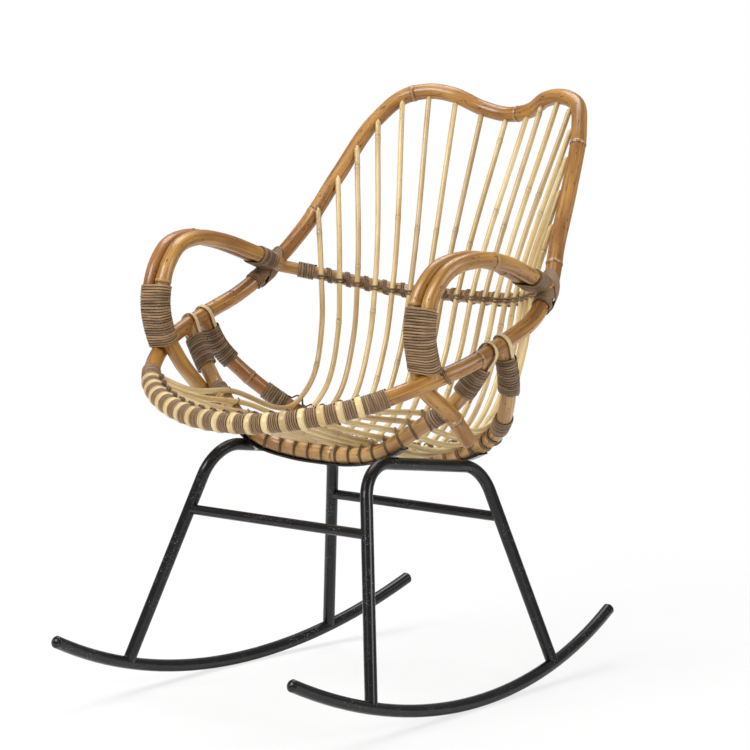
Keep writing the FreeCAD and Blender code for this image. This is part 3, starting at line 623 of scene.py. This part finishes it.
GREY_PALE = cane_finish("grey_pale_cane", (0.72, 0.54, 0.285), (0.50, 0.33, 0.14), (0.52, 0.36, 0.18),
                        speck_share=0.72, streak=0.5, shine=0.3, shift=47.0, mark=0.4)
DARK_STRAND = strand_finish("dark_strand", (0.24, 0.140, 0.066), (0.080, 0.042, 0.018))
GREY_STRAND = strand_finish("grey_brown_strand", (0.40, 0.240, 0.112), (0.120, 0.064, 0.026))
BROWN_STRAND = strand_finish("brown_strand", (0.30, 0.182, 0.090), (0.090, 0.048, 0.021))
LIGHT_STRAND = strand_finish("light_strand", (0.74, 0.57, 0.33), (0.54, 0.38, 0.19), 0.4)
BLACK_STEEL = steel_finish("black_painted_steel", (0.0055, 0.0055, 0.006), (0.32, 0.31, 0.29))
PLATED = plated_finish("plated_steel")

# Steel base, bolts, nuts and nails keep their solids
STEEL_NODES = ("rocker_left", "rocker_right", "leg_frame_left", "leg_frame_right", "front_stretcher",
               "rear_stretcher", "front_seat_strap", "rear_seat_strap", "rocker_end_caps")
PLATED_NODES = ("seat_bolts", "seat_nuts", "arm_tail_nails")
for names, finish in ((STEEL_NODES, BLACK_STEEL), (PLATED_NODES, PLATED)):
    for name in names:
        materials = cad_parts[name].data.materials
        materials.clear()
        materials.append(finish)

# Poles of the frame
SEAT_CENTRE = (0.0, 0.02, 0.68)
rim_joint = rim_place(RIM_JOINT)
POLE_CENTRE = (0.0, 0.0, 0.9)
ARM_CENTRE = (0.0, -0.03, 0.60)
hoop_nodes = np.array([-0.995, -0.735, -0.455, -0.18, 0.02, 0.29, 0.52, 0.80, 1.06])
piece("hoop_pole", cane_pole(hoop, -rim_joint, rim_joint, HOOP_RADIUS, hoop_nodes, SEAT_CENTRE),
      HONEY, "honey_rattan", "back_hoop")
rim_nodes = np.array([rim_joint + 0.02, hoop.middle + 0.12])
piece("rim_pole", cane_pole(hoop, rim_joint, hoop.length - rim_joint, HOOP_RADIUS, rim_nodes, SEAT_CENTRE),
      HONEY, "honey_rattan", "front_rim")
CROSS_POLES = (
    ("front_cradle", front_cradle, CRADLE_RADIUS, TAN),
    ("rear_cradle", rear_cradle, CRADLE_RADIUS, RUDDY_TAN),
    ("lumbar_rail", lumbar, LUMBAR_RADIUS, TAN),
)
for name, line, radius, finish in CROSS_POLES:
    nodes = node_row(0.0, line.length, first=0.11, spacing=0.27, spread=0.04)
    piece(name + "_pole", cane_pole(line, 0.0, line.length, radius, nodes, POLE_CENTRE),
          finish, "light_rattan", name)

# Armrests: the outer pole stands on the side rail, the inner one runs on to the front cradle
arm_stations = np.array(ARM_LINE) * MM
arm_offset = ACROSS * ARM_SPREAD
outer_foot = np.array(OUTER_ARM_FOOT) * MM
inner_bend = np.array(INNER_ARM_BEND) * MM
tail_way = unit(np.array(TAIL_WAY))
crossing = seat_on(front_cradle, front_cradle.middle + TAIL_CROSSING, tail_way,
                   CRADLE_RADIUS + ARM_RADIUS + SEAT_CLEARANCE, -UP)
SIDES = (("left", 1), ("right", -1))
CUT_FACES = (-0.0004, 0.0003)
CUT_INSET = 0.001
CUT_RADIUS = ARM_RADIUS * 0.92
tail_cuts = []
for side_name, hand in SIDES:
    flip = np.array([hand, 1, 1])
    outer = Line(np.vstack([arm_stations + arm_offset, outer_foot]) * flip)
    tail_end = crossing + tail_way * TAIL_LENGTH
    inner = Line(np.vstack([arm_stations - arm_offset, inner_bend, crossing, tail_end]) * flip)
    outer_nodes = node_row(0.0, outer.length, first=0.16, spacing=0.21, spread=0.03)
    inner_nodes = np.array([0.07 + 0.03 * hand, 0.33, inner.length - TAIL_LENGTH + 0.004])
    piece(f"arm_outer_{side_name}_pole",
          cane_pole(outer, 0.0, outer.length, ARM_RADIUS, outer_nodes, ARM_CENTRE),
          HONEY_ARM if hand > 0 else RUDDY_ARM, "honey_rattan", f"arm_outer_{side_name}")
    piece(f"arm_inner_{side_name}_pole",
          cane_pole(inner, 0.0, inner.length, ARM_RADIUS, inner_nodes, ARM_CENTRE, cut_end=True),
          HONEY_ARM, "honey_rattan", f"arm_inner_{side_name}")
    cut_way = inner.way(inner.length - CUT_INSET)
    cut_points = inner.at(inner.length) + np.array(CUT_FACES)[:, None] * cut_way
    tail_cuts.append(swept(cut_points, ACROSS, CUT_RADIUS, CUT_RADIUS, 36))
piece("arm_tail_cuts", joined(tail_cuts), PALE, "honey_rattan")

# Canes of the seat and back
BAND_END = math.radians(-112)
BAND_POINTS = 34
TAIL_POINTS = 10
TAIL_DRIFT = 0.004
TAPER_LENGTH = 0.014
TAPER_RUN = 0.022
BACK_BULGE = 0.027
SEATING_ROUNDS = 3
TOP_ANGLE = math.radians(50)
SPOKE_SHAVE = 0.0026
TOP_REACH = HOOP_RADIUS + SPOKE_RADIUS - SPOKE_SHAVE
SPOKE_TIP = 0.005
TAPER_SHARES = (0.25, 0.5, 0.75)
BACK_BEND_SHARES = (0.2, 0.62)
CANE_SWELLING = 0.0004
CANE_ROUNDING = 0.006
TAIL_TIP_SHARE = 0.3
BAND_SQUARENESS = 0.7
KNOT_TURNS = 2.5
KNOT_PITCH = 0.0031
KNOT_START = 0.0055
KNOT_STATIONS = (-0.002, 0.008, 0.03)
KNOT_REACH = SPOKE_RADIUS + 0.0007


class Cane:
    """The path of one cane: from its tail under the front rim, round the rim's front as a flat band, off the
    rim's top, over both cradles and up the back to the hoop."""

    def __init__(self, index):
        clear = SPOKE_RADIUS + SEAT_CLEARANCE
        front_at = front_cradle.middle + index * FRONT_CRADLE_PITCH
        rear_at = rear_cradle.middle + index * REAR_CRADLE_PITCH
        lumbar_at = lumbar.middle + index * LUMBAR_PITCH
        hoop_at = index * (HOOP_PITCH + HOOP_PITCH_GROWTH * abs(index))
        seat_way = unit(front_cradle.at(front_at) - rear_cradle.at(rear_at))
        back_way = unit(hoop.at(hoop_at) - lumbar.at(lumbar_at))
        front = seat_on(front_cradle, front_at, seat_way, CRADLE_RADIUS + clear, UP)
        middle = seat_on(lumbar, lumbar_at, back_way, LUMBAR_RADIUS + clear, FORWARD)
        hoop_point = hoop.at(hoop_at)
        hoop_way = hoop.way(hoop_at)
        facing = square_to(FORWARD, hoop_way)
        inward = np.cross(hoop_way, facing)
        inward = inward * np.sign(inward @ (middle - hoop_point))
        top = hoop_point + TOP_REACH * (facing * math.cos(TOP_ANGLE) + inward * math.sin(TOP_ANGLE))
        rear_way = -seat_way
        for attempt in range(SEATING_ROUNDS):
            rear = seat_on(rear_cradle, rear_at, rear_way, CRADLE_RADIUS + clear, UP)
            rise = middle - rear
            rearward = square_to(-FORWARD, unit(rise))
            bends = [rear + rise * share + rearward * BACK_BULGE for share in BACK_BEND_SHARES]
            before = np.linalg.norm(rear - front)
            after = np.linalg.norm(bends[0] - rear)
            rear_way = unit((rear - front) * after / before + (bends[0] - rear) * before / after)

        rim = hoop.at(rim_place(index * RIM_PITCH))
        self.rim_way = hoop.way(rim_place(index * RIM_PITCH))
        ahead = square_to(FORWARD, self.rim_way)
        upward = np.cross(ahead, self.rim_way)
        upward = upward * np.sign(upward[2])
        seat_run = np.array([(front - rim) @ ahead, (front - rim) @ upward])
        seat_angle = math.atan2(seat_run[1], seat_run[0]) % (2 * math.pi)
        over_angle = seat_angle - math.acos(BAND_REACH / np.linalg.norm(seat_run))
        angle = np.linspace(BAND_END, over_angle, BAND_POINTS)[:, None]
        band = rim + BAND_REACH * (ahead * np.cos(angle) + upward * np.sin(angle))
        rightward = self.rim_way * np.sign(self.rim_way[0])
        loose = 1 - smooth(np.arange(BAND_POINTS) / TAIL_POINTS)
        band = band + (TAIL_DRIFT * loose)[:, None] * rightward
        self.over = band[-1]
        self.over_way = upward * math.cos(over_angle) - ahead * math.sin(over_angle)
        taper = self.over + self.over_way * (TAPER_LENGTH * np.array(TAPER_SHARES))[:, None]
        self.lead = np.vstack([band, taper])
        self.line = Line([
            self.over + self.over_way * TAPER_LENGTH,
            self.over + self.over_way * (TAPER_LENGTH + TAPER_RUN),
            front, rear, *bends, middle, top, top + unit(top - middle) * SPOKE_TIP,
        ])

    def surface(self, index):
        """A flat oval band with a pointed tail that turns into a round rod, rounded off at its shaved top."""
        line = self.line
        first = 0.10 + chance.uniform(0.0, 0.12)
        nodes = node_row(0.0, line.length, first, spacing=0.23, spread=0.05)
        run = cane_places(0.0, line.length, nodes, POLE_STEP)
        points = np.vstack([self.lead, line.at(run)])
        share = smooth(np.concatenate([np.zeros(BAND_POINTS), TAPER_SHARES, np.ones(len(run))]))
        lead_gaps = np.linalg.norm(np.diff(np.vstack([self.lead, line.at(0.0)]), axis=0), axis=1)
        whole = np.concatenate([-np.cumsum(lead_gaps[::-1])[::-1], run])
        gap = node_distance(whole, nodes)
        past = (whole - line.length + CANE_ROUNDING) / (CANE_ROUNDING + 0.0002)
        tip = np.sqrt(np.clip(1 - past.clip(0, 1) ** 2, 0.02, 1))
        tail = TAIL_TIP_SHARE + (1 - TAIL_TIP_SHARE) * smooth(np.arange(len(points)) / TAIL_POINTS)
        size = SPOKE_RADIUS + cane_swelling(gap, CANE_SWELLING)
        half_wide = (BAND_HALF_WIDTH * (1 - share) + size * share) * tip * tail
        half_thick = (BAND_HALF_THICKNESS * (1 - share) + size * share) * tip
        squareness = BAND_SQUARENESS + (1 - BAND_SQUARENESS) * share
        return swept(points, self.rim_way, half_wide, half_thick, 18, squareness, node_gaps=gap,
                     run=whole + 2.0 * index)

    def knot(self):
        """Two and a half turns of strand round the cane where it leaves the rim."""
        start = Line([self.over + self.over_way * step for step in KNOT_STATIONS])
        return wound(start, KNOT_START, KNOT_TURNS, KNOT_PITCH, KNOT_REACH, UP, steps=24)


INDEXES = range(-SPOKES_EACH_SIDE, SPOKES_EACH_SIDE + 1)
canes = {index: Cane(index) for index in INDEXES}
for index, cane in canes.items():
    number = index + SPOKES_EACH_SIDE + 1
    tone = GREY_PALE if number % 5 in (1, 3) else PALE
    piece(f"cane_{number:02d}", cane.surface(index), tone, "pale_cane", f"spoke_{number:02d}")
piece("rim_knots", joined([cane.knot() for cane in canes.values()]), DARK_STRAND, "wound_cane")

# Strand round the front rim between the bands, and outside the last ones
RIM_STRAND = 0.0034
RIM_REACH = HOOP_RADIUS + STRAND_HALF_THICKNESS
RIM_TURNS = 5
RIM_END_TURNS = 11
RIM_END_ROOM = 0.0072
GAPS = range(-SPOKES_EACH_SIDE, SPOKES_EACH_SIDE)
gap_margin = (RIM_PITCH - RIM_TURNS * RIM_STRAND) / 2
end_from = SPOKES_EACH_SIDE * RIM_PITCH + RIM_END_ROOM
end_length = RIM_END_TURNS * RIM_STRAND
rim_runs = [(rim_place((index + 1) * RIM_PITCH) + gap_margin, RIM_TURNS) for index in GAPS]
rim_runs += [(rim_place(end_from + end_length), RIM_END_TURNS), (rim_place(-end_from), RIM_END_TURNS)]
rim_parts = [wound(hoop, start, turns, RIM_STRAND, RIM_REACH, UP, steps=30) for start, turns in rim_runs]
piece("rim_strand", joined(rim_parts), GREY_STRAND, "wound_cane", "rim_binding")

# Hooks over the side rails, with the strut wraps round their legs
HOOK_HALF_WIDTH = 0.004
HOOK_HALF_THICKNESS = 0.0015
HOOK_CLEARANCE = 0.0009
HOOK_LEG = 0.072
HOOK_CLOSING = 0.024
HOOK_END_INSET = 0.001
HOOK_WAY_INSET = 0.0009
HOOK_BEND_ANGLES = (30, 60, 90, 120, 150)
HOOK_LEG_POINTS = 8
HOOK_POINTS = 110
HOOK_SQUARENESS = 0.8
LEG_REACH = CRADLE_RADIUS + HOOK_CLEARANCE + HOOK_HALF_THICKNESS
STRAND_PITCH = 0.00465
STRAND_LIFT = 0.0014
UPPER_FROM_HOOP = 0.024
UPPER_HALF_THICKNESS = 0.0009
UPPER_REACH = CRADLE_RADIUS + 0.0010
UPPER_SPREAD = LEG_REACH + HOOK_HALF_THICKNESS - CRADLE_RADIUS
FRONT_LOWER_ROOM = 0.008
REAR_LOWER_ROOM = 0.014


def hook_reach(line):
    """Distance from the rail's axis to that of a hook that is bent over it in the strut's direction."""
    rail_way = hoop.way(hoop.nearest(line.at(line.length)))
    slant = np.linalg.norm(np.cross(line.way(line.length - HOOK_END_INSET), rail_way))
    return (HOOP_RADIUS + HOOK_CLEARANCE) / slant + HOOK_HALF_THICKNESS


def strut_side(line):
    """The way from a left strut's axis to the leg of its hook, halfway down the leg."""
    return unit(np.cross(line.way(line.length - HOOK_LEG / 2), FORWARD))


def hook(line, hand):
    """Split cane bent over the side rail: up one side of the strut, half round the rail and down the
    other side."""
    top_reach = hook_reach(line)
    down = np.linspace(HOOK_LEG, 0.0, HOOK_LEG_POINTS)
    share = smooth(down / HOOK_CLOSING)[:, None]
    reach = top_reach * (1 - share) + LEG_REACH * share
    place = line.length - down
    points = line.at(place)
    ways = line.way(place - HOOK_WAY_INSET)
    side = square_to(np.broadcast_to(strut_side(line), points.shape), ways)
    bend = np.radians(HOOK_BEND_ANGLES)[:, None]
    over = points[-1] + top_reach * (ways[-1] * np.sin(bend) - side[-1] * np.cos(bend))
    path = Line(np.vstack([points - side * reach, over, (points + side * reach)[::-1]]) * (hand, 1, 1))
    run = np.linspace(0, path.length, HOOK_POINTS)
    wide = np.cross(side[-1], ways[-1]) * (hand, 1, 1)
    return swept(path.at(run), wide, HOOK_HALF_WIDTH, HOOK_HALF_THICKNESS, 14, HOOK_SQUARENESS)


hooks = [hook(line, hand) for line in (front_cradle, rear_cradle) for side_name, hand in SIDES]
piece("hooks", joined(hooks), LIGHT_STRAND, "wound_cane", "rail_hooks")

upper_parts = []
lower_parts = []
# Pole, turns of its upper wraps, start of its lower wraps from its middle, and their turns
STRUT_SETS = (
    (front_cradle, 12, SPOKES_EACH_SIDE * FRONT_CRADLE_PITCH + FRONT_LOWER_ROOM, 5),
    (rear_cradle, 15, SPOKES_EACH_SIDE * REAR_CRADLE_PITCH + REAR_LOWER_ROOM, 9),
)
for line, upper_turns, lower_from, lower_turns in STRUT_SETS:
    upper_start = line.length - UPPER_FROM_HOOP - upper_turns * STRAND_PITCH
    mirrored_start = line.length - upper_start - upper_turns * STRAND_PITCH
    for start, way in ((upper_start, strut_side(line)), (mirrored_start, strut_side(line) * (-1, 1, 1))):
        upper_parts.append(wound(line, start, upper_turns, STRAND_PITCH, UPPER_REACH, way, UPPER_SPREAD,
                                 half_thick=UPPER_HALF_THICKNESS))
    lower_length = lower_turns * STRAND_PITCH
    for start in (line.middle + lower_from, line.middle - lower_from - lower_length):
        lower_parts.append(wound(line, start, lower_turns, STRAND_PITCH, CRADLE_RADIUS + STRAND_LIFT, UP))
piece("strut_upper_strand", joined(upper_parts), BROWN_STRAND, "wound_cane", "strut_upper_wraps")
piece("strut_lower_strand", joined(lower_parts), BROWN_STRAND, "wound_cane", "strut_lower_wraps")

# Lumbar rail's end wraps
LUMBAR_WRAP_TURNS = 6
LUMBAR_WRAP_ROOM = 0.010
lumbar_from = SPOKES_EACH_SIDE * LUMBAR_PITCH + LUMBAR_WRAP_ROOM
lumbar_starts = (lumbar.middle + lumbar_from, lumbar.middle - lumbar_from - LUMBAR_WRAP_TURNS * STRAND_PITCH)
lumbar_ends = [wound(lumbar, start, LUMBAR_WRAP_TURNS, STRAND_PITCH, LUMBAR_RADIUS + STRAND_LIFT, UP)
               for start in lumbar_starts]
piece("lumbar_end_strand", joined(lumbar_ends), BROWN_STRAND, "wound_cane", "lumbar_wraps")

# Lumbar rail and rear cradle: a double strand crosses each cane and turns round the pole between them
RUN_OVERHANG = 0.45
RUN_STEP = 0.0016
RUN_HALF_WIDTH = 0.0018
RUN_HALF_THICKNESS = 0.0012
RUN_SQUARENESS = 0.8
RUN_RISES = (-0.0021, 0.0019)
RUN_SWAY = 0.0008
SWAY_PHASE_PER_MM = 40
HUMP_TOP = 1.45
HUMP_LENGTH = 0.0085
GAP_TURN_HALF_THICKNESS = 0.0011
GAP_TURN_HALF_WIDTH = 0.0019
GAP_TURN_ROOM = 0.0075
GAP_TURN_SHORTER = 0.0190
GAP_TURN_STEPS = (0.0, 0.0040)


def running_strand(line, pitch, pole_radius, toward, rise):
    """A strand that runs along a pole's front and lifts over each cane: its height above the pole is
    the cane's thickness times a smooth hump at each cane."""
    half = (SPOKES_EACH_SIDE + RUN_OVERHANG) * pitch
    offset = np.arange(-half, half, RUN_STEP)
    nearest_cane = np.round(offset / pitch).clip(-SPOKES_EACH_SIDE, SPOKES_EACH_SIDE)
    hump = smooth(HUMP_TOP - np.abs(offset - pitch * nearest_cane) / HUMP_LENGTH)
    place = line.middle + offset
    ways = line.way(place)
    out = square_to(np.broadcast_to(toward, ways.shape), ways)
    over = np.cross(ways, out)
    height = pole_radius + RUN_HALF_THICKNESS + hump * 2 * SPOKE_RADIUS
    sway = rise + RUN_SWAY * np.sin(offset * 2 * np.pi / pitch + SWAY_PHASE_PER_MM * rise / MM)
    points = line.at(place) + height[:, None] * out + sway[:, None] * over
    return swept(points, over, RUN_HALF_WIDTH, RUN_HALF_THICKNESS, 8, RUN_SQUARENESS)


def gap_turn(line, start, pole_radius, side, length):
    """One slanting turn of strand round a pole in the gap between two canes."""
    return wound(line, start, 1.0, length, pole_radius + GAP_TURN_HALF_THICKNESS, side,
                 half_wide=GAP_TURN_HALF_WIDTH, half_thick=GAP_TURN_HALF_THICKNESS)


BOUND_POLES = (
    ("lumbar", lumbar, LUMBAR_PITCH, LUMBAR_RADIUS, FORWARD),
    ("rear_cradle", rear_cradle, REAR_CRADLE_PITCH, CRADLE_RADIUS, UP),
)
for name, line, pitch, radius, toward in BOUND_POLES:
    binding = [running_strand(line, pitch, radius, toward, rise) for rise in RUN_RISES]
    for index in GAPS:
        gap_start = line.middle + index * pitch + GAP_TURN_ROOM
        for step in GAP_TURN_STEPS:
            binding.append(gap_turn(line, gap_start + step, radius, -toward, pitch - GAP_TURN_SHORTER))
    piece(f"{name}_binding", joined(binding), DARK_STRAND, "wound_cane")

# Front cradle: two ties round the pole and each cane
FRONT_TIE_SLANT = 0.0055
FRONT_TIE_STRAND = 0.001
FRONT_TIE_STEPS = (-0.0012, 0.0012)
front_ties = []
for index in INDEXES:
    for step in FRONT_TIE_STEPS:
        tie_place = front_cradle.middle + index * FRONT_CRADLE_PITCH + step
        front_ties.append(tie(front_cradle, tie_place, UP, CRADLE_RADIUS, FRONT_TIE_SLANT, FRONT_TIE_STRAND))
piece("front_cradle_ties", joined(front_ties), DARK_STRAND, "wound_cane")

# Arm wraps and the lashing of the arms' rear ends to the hoop
PAIR_REACH = ARM_RADIUS + STRAND_LIFT
ARM_WRAP_TURNS = 24
ARM_WRAP_LENGTH = 21 * STRAND_PITCH
ARM_WRAP_PITCH = ARM_WRAP_LENGTH / ARM_WRAP_TURNS
ARM_WRAP_FROM_FOOT = 0.021
ARM_WRAP_WIDENING = 0.0016
ARM_LASH_START = 0.012
ARM_LASH_TURNS = 10
ARM_LASH_PITCH = 7 * STRAND_PITCH / 9
ARM_WAY_PLACE = 0.03
PAIR_STEPS = 56
CROSS_STRANDS = 8
CROSS_PITCH = 0.0031
CROSS_HALF_THICKNESS = 0.0012
CROSS_TILT = math.radians(54)
# Sign of the slant, reach from the hoop's axis, and shift along the hoop
CROSS_SETS = ((-1, HOOP_RADIUS + 0.0013, 0.014), (1, HOOP_RADIUS + 0.0032, 0.007))
RING_OFFSET = 0.034
RING_TURNS = 4
RING_LENGTH = 3 * STRAND_PITCH


def crossed_loop(place, toward, reach, rise):
    """A closed loop of strand round the hoop: the circle's front, on the side given, is moved along the
    hoop by the rise and its back by as much the other way, so that the loop slants over both faces."""
    centre = hoop.at(place)
    way = hoop.way(place)
    front = square_to(toward, way)
    aside = np.cross(way, front)
    angle = np.linspace(0, 2 * np.pi, 48, endpoint=False)[:, None]
    normal = front * np.cos(angle) + aside * np.sin(angle)
    points = centre + reach * normal + rise * np.cos(angle) * way
    ways = np.roll(points, -1, axis=0) - np.roll(points, 1, axis=0)
    return swept(points, np.cross(normal, ways), CROSS_PITCH / 2, CROSS_HALF_THICKNESS, 8, STRAND_SQUARENESS,
                 closed=True)


for side_name, hand in SIDES:
    flip = np.array([hand, 1, 1])
    pair = Line(np.vstack([arm_stations, (outer_foot + inner_bend) / 2]) * flip)
    wrap_start = pair.length - ARM_WRAP_FROM_FOOT - ARM_WRAP_LENGTH
    wrap = wound(pair, wrap_start, ARM_WRAP_TURNS, ARM_WRAP_PITCH, PAIR_REACH, ACROSS * hand, ARM_SPREAD,
                 steps=PAIR_STEPS, widening=ARM_WRAP_WIDENING)
    piece(f"arm_{side_name}_strand", wrap, GREY_STRAND, "wound_cane", f"arm_wrap_{side_name}")
    joint = hoop.nearest((arm_stations - arm_offset)[0])
    ring_start = joint + RING_OFFSET if hand > 0 else -joint - RING_OFFSET - RING_LENGTH
    lashing = [
        wound(pair, ARM_LASH_START, ARM_LASH_TURNS, ARM_LASH_PITCH, PAIR_REACH, ACROSS * hand, ARM_SPREAD,
              steps=PAIR_STEPS),
        wound(hoop, ring_start, RING_TURNS, RING_LENGTH / RING_TURNS, HOOP_RADIUS + STRAND_LIFT,
              ACROSS * hand),
    ]
    arm_way = pair.way(ARM_WAY_PLACE)
    for slant, reach, shift in CROSS_SETS:
        rise = -slant * hand * reach * math.tan(CROSS_TILT)
        for strand in range(CROSS_STRANDS):
            place = hand * (joint + shift) + (strand - (CROSS_STRANDS - 1) / 2) * CROSS_PITCH
            lashing.append(crossed_loop(place, arm_way, reach, rise))
    piece(f"arm_{side_name}_lashing", joined(lashing), BROWN_STRAND, "wound_cane", f"arm_lashing_{side_name}")

# Loose ties round the side rails, just behind the arm feet
FOOT_TIE_STEPS = (-0.0014, 0.0014)
FOOT_TIE_RISE = 0.007
FOOT_TIE_REACH = HOOP_RADIUS + STRAND_HALF_THICKNESS
TIE_FROM_FOOT = 0.019
foot_place = hoop.nearest(outer_foot)
foot_ties = []
for side_name, hand in SIDES:
    for step in FOOT_TIE_STEPS:
        tie_place = hand * (foot_place - TIE_FROM_FOOT + step)
        foot_ties.append(crossed_loop(tie_place, FORWARD, FOOT_TIE_REACH, hand * FOOT_TIE_RISE))
piece("arm_foot_ties", joined(foot_ties), DARK_STRAND, "wound_cane")

# Floor, backdrop, light and camera
SEEN_RAYS = ("Is Camera Ray", "Is Transmission Ray")
VIEW_TURN = math.radians(39.0)
VIEW_DROP = math.radians(7.741)
FLOOR_FRONT = -14.0
FLOOR_REAR = 6.0
FLOOR_HALF_WIDTH = 16.0
BACKDROP_BEND = 2.5
BACKDROP_TOP = 14.0
WORLD_STRENGTH = 0.32
NEAR_GLOW = 0.74
GLOW_START = 0.7
GLOW_FULL = 1.7


def floor_finish():
    """White floor that keeps the chair's shadow: near the chair the camera sees a share of it lit by the
    lamps, and further off, and on the backdrop, plain white."""
    f = Finish("pale_floor")
    grain = f.object_noise(3.0)
    pale = f.mix(grain, (0.86, 0.86, 0.86), (0.88, 0.88, 0.88))
    matte = f.node("ShaderNodeBsdfDiffuse", None, {"Color": pale})
    glow = f.node("ShaderNodeEmission", None, {"Color": (1.0, 1.0, 1.0, 1.0), "Strength": 1.0})
    place = f.node("ShaderNodeTexCoord", output=3)
    away = f.node("ShaderNodeVectorMath", {"operation": "LENGTH"}, {0: place}, 1)
    rays = [f.node("ShaderNodeLightPath", None, None, name) for name in SEEN_RAYS]
    seen = rays[0].most(rays[1])
    share = NEAR_GLOW + (1 - NEAR_GLOW) * away.rise(GLOW_START, GLOW_FULL)
    both = f.node("ShaderNodeMixShader", None, {0: seen * share, 1: matte, 2: glow})
    f.node_output(both)
    return f.material


def floor_part():
    """A flat floor that rises behind the chair as a quarter circle into an upright backdrop."""
    bend = np.linspace(0, np.pi / 2, 24)
    rear = FLOOR_REAR + BACKDROP_BEND
    profile_y = np.concatenate([[FLOOR_FRONT], FLOOR_REAR + BACKDROP_BEND * np.sin(bend), [rear]])
    profile_z = np.concatenate([[0.0], BACKDROP_BEND * (1 - np.cos(bend)), [BACKDROP_TOP]])
    width = np.array([-FLOOR_HALF_WIDTH, FLOOR_HALF_WIDTH])
    y, x = np.meshgrid(profile_y, width, indexing="ij")
    z = np.repeat(profile_z, 2).reshape(-1, 2)
    across = x * math.cos(VIEW_TURN) - y * math.sin(VIEW_TURN)
    deep = x * math.sin(VIEW_TURN) + y * math.cos(VIEW_TURN)
    points = np.stack([across, deep, z], axis=-1)
    row = np.arange(len(profile_y) - 1)
    quads = np.stack([2 * row, 2 * row + 1, 2 * row + 3, 2 * row + 2], axis=1)
    return points.reshape(-1, 3), quads.tolist()


floor_points, floor_quads = floor_part()
floor_mesh = bpy.data.meshes.new("floor")
floor_mesh.from_pydata(floor_points.tolist(), [], floor_quads)
floor_mesh.polygons.foreach_set("use_smooth", np.ones(len(floor_mesh.polygons), bool))
floor_mesh.materials.append(floor_finish())
floor = bpy.data.objects.new("floor", floor_mesh)
bpy.context.scene.collection.objects.link(floor)

world = bpy.data.worlds.new("studio")
bpy.context.scene.world = world
world.use_nodes = True
world.node_tree.nodes["Background"].inputs["Color"].default_value = (1.0, 1.0, 1.0, 1.0)
world.node_tree.nodes["Background"].inputs["Strength"].default_value = WORLD_STRENGTH


def soft_lamp(name, place, aim, size, power):
    """A square area lamp at a place, turned to its aim."""
    lamp = bpy.data.lights.new(name, "AREA")
    lamp.size = size
    lamp.energy = power
    holder = bpy.data.objects.new(name, lamp)
    away = Vector(place) - Vector(aim)
    holder.rotation_euler = away.to_track_quat("Z", "Y").to_euler()
    holder.location = place
    bpy.context.scene.collection.objects.link(holder)


CHAIR_MIDDLE = (0.0, 0.0, 0.5)
soft_lamp("key_lamp", (-0.7, -3.2, 3.2), CHAIR_MIDDLE, size=2.0, power=130.0)
soft_lamp("side_lamp", (3.6, 0.6, 2.2), CHAIR_MIDDLE, size=1.6, power=55.0)
soft_lamp("top_lamp", (-1.0, 1.0, 4.0), CHAIR_MIDDLE, size=2.4, power=85.0)

camera = bpy.data.cameras.new("camera")
camera.sensor_width = 36.0
camera.lens = 163.55
camera.clip_end = 100.0
viewer = bpy.data.objects.new("camera", camera)
viewer.location = (3.4321, -4.1735, 1.2433)
viewer.rotation_euler = (math.pi / 2 - VIEW_DROP, 0.0, VIEW_TURN)
bpy.context.scene.collection.objects.link(viewer)
bpy.context.scene.camera = viewer
bpy.context.scene.view_settings.view_transform = "Standard"
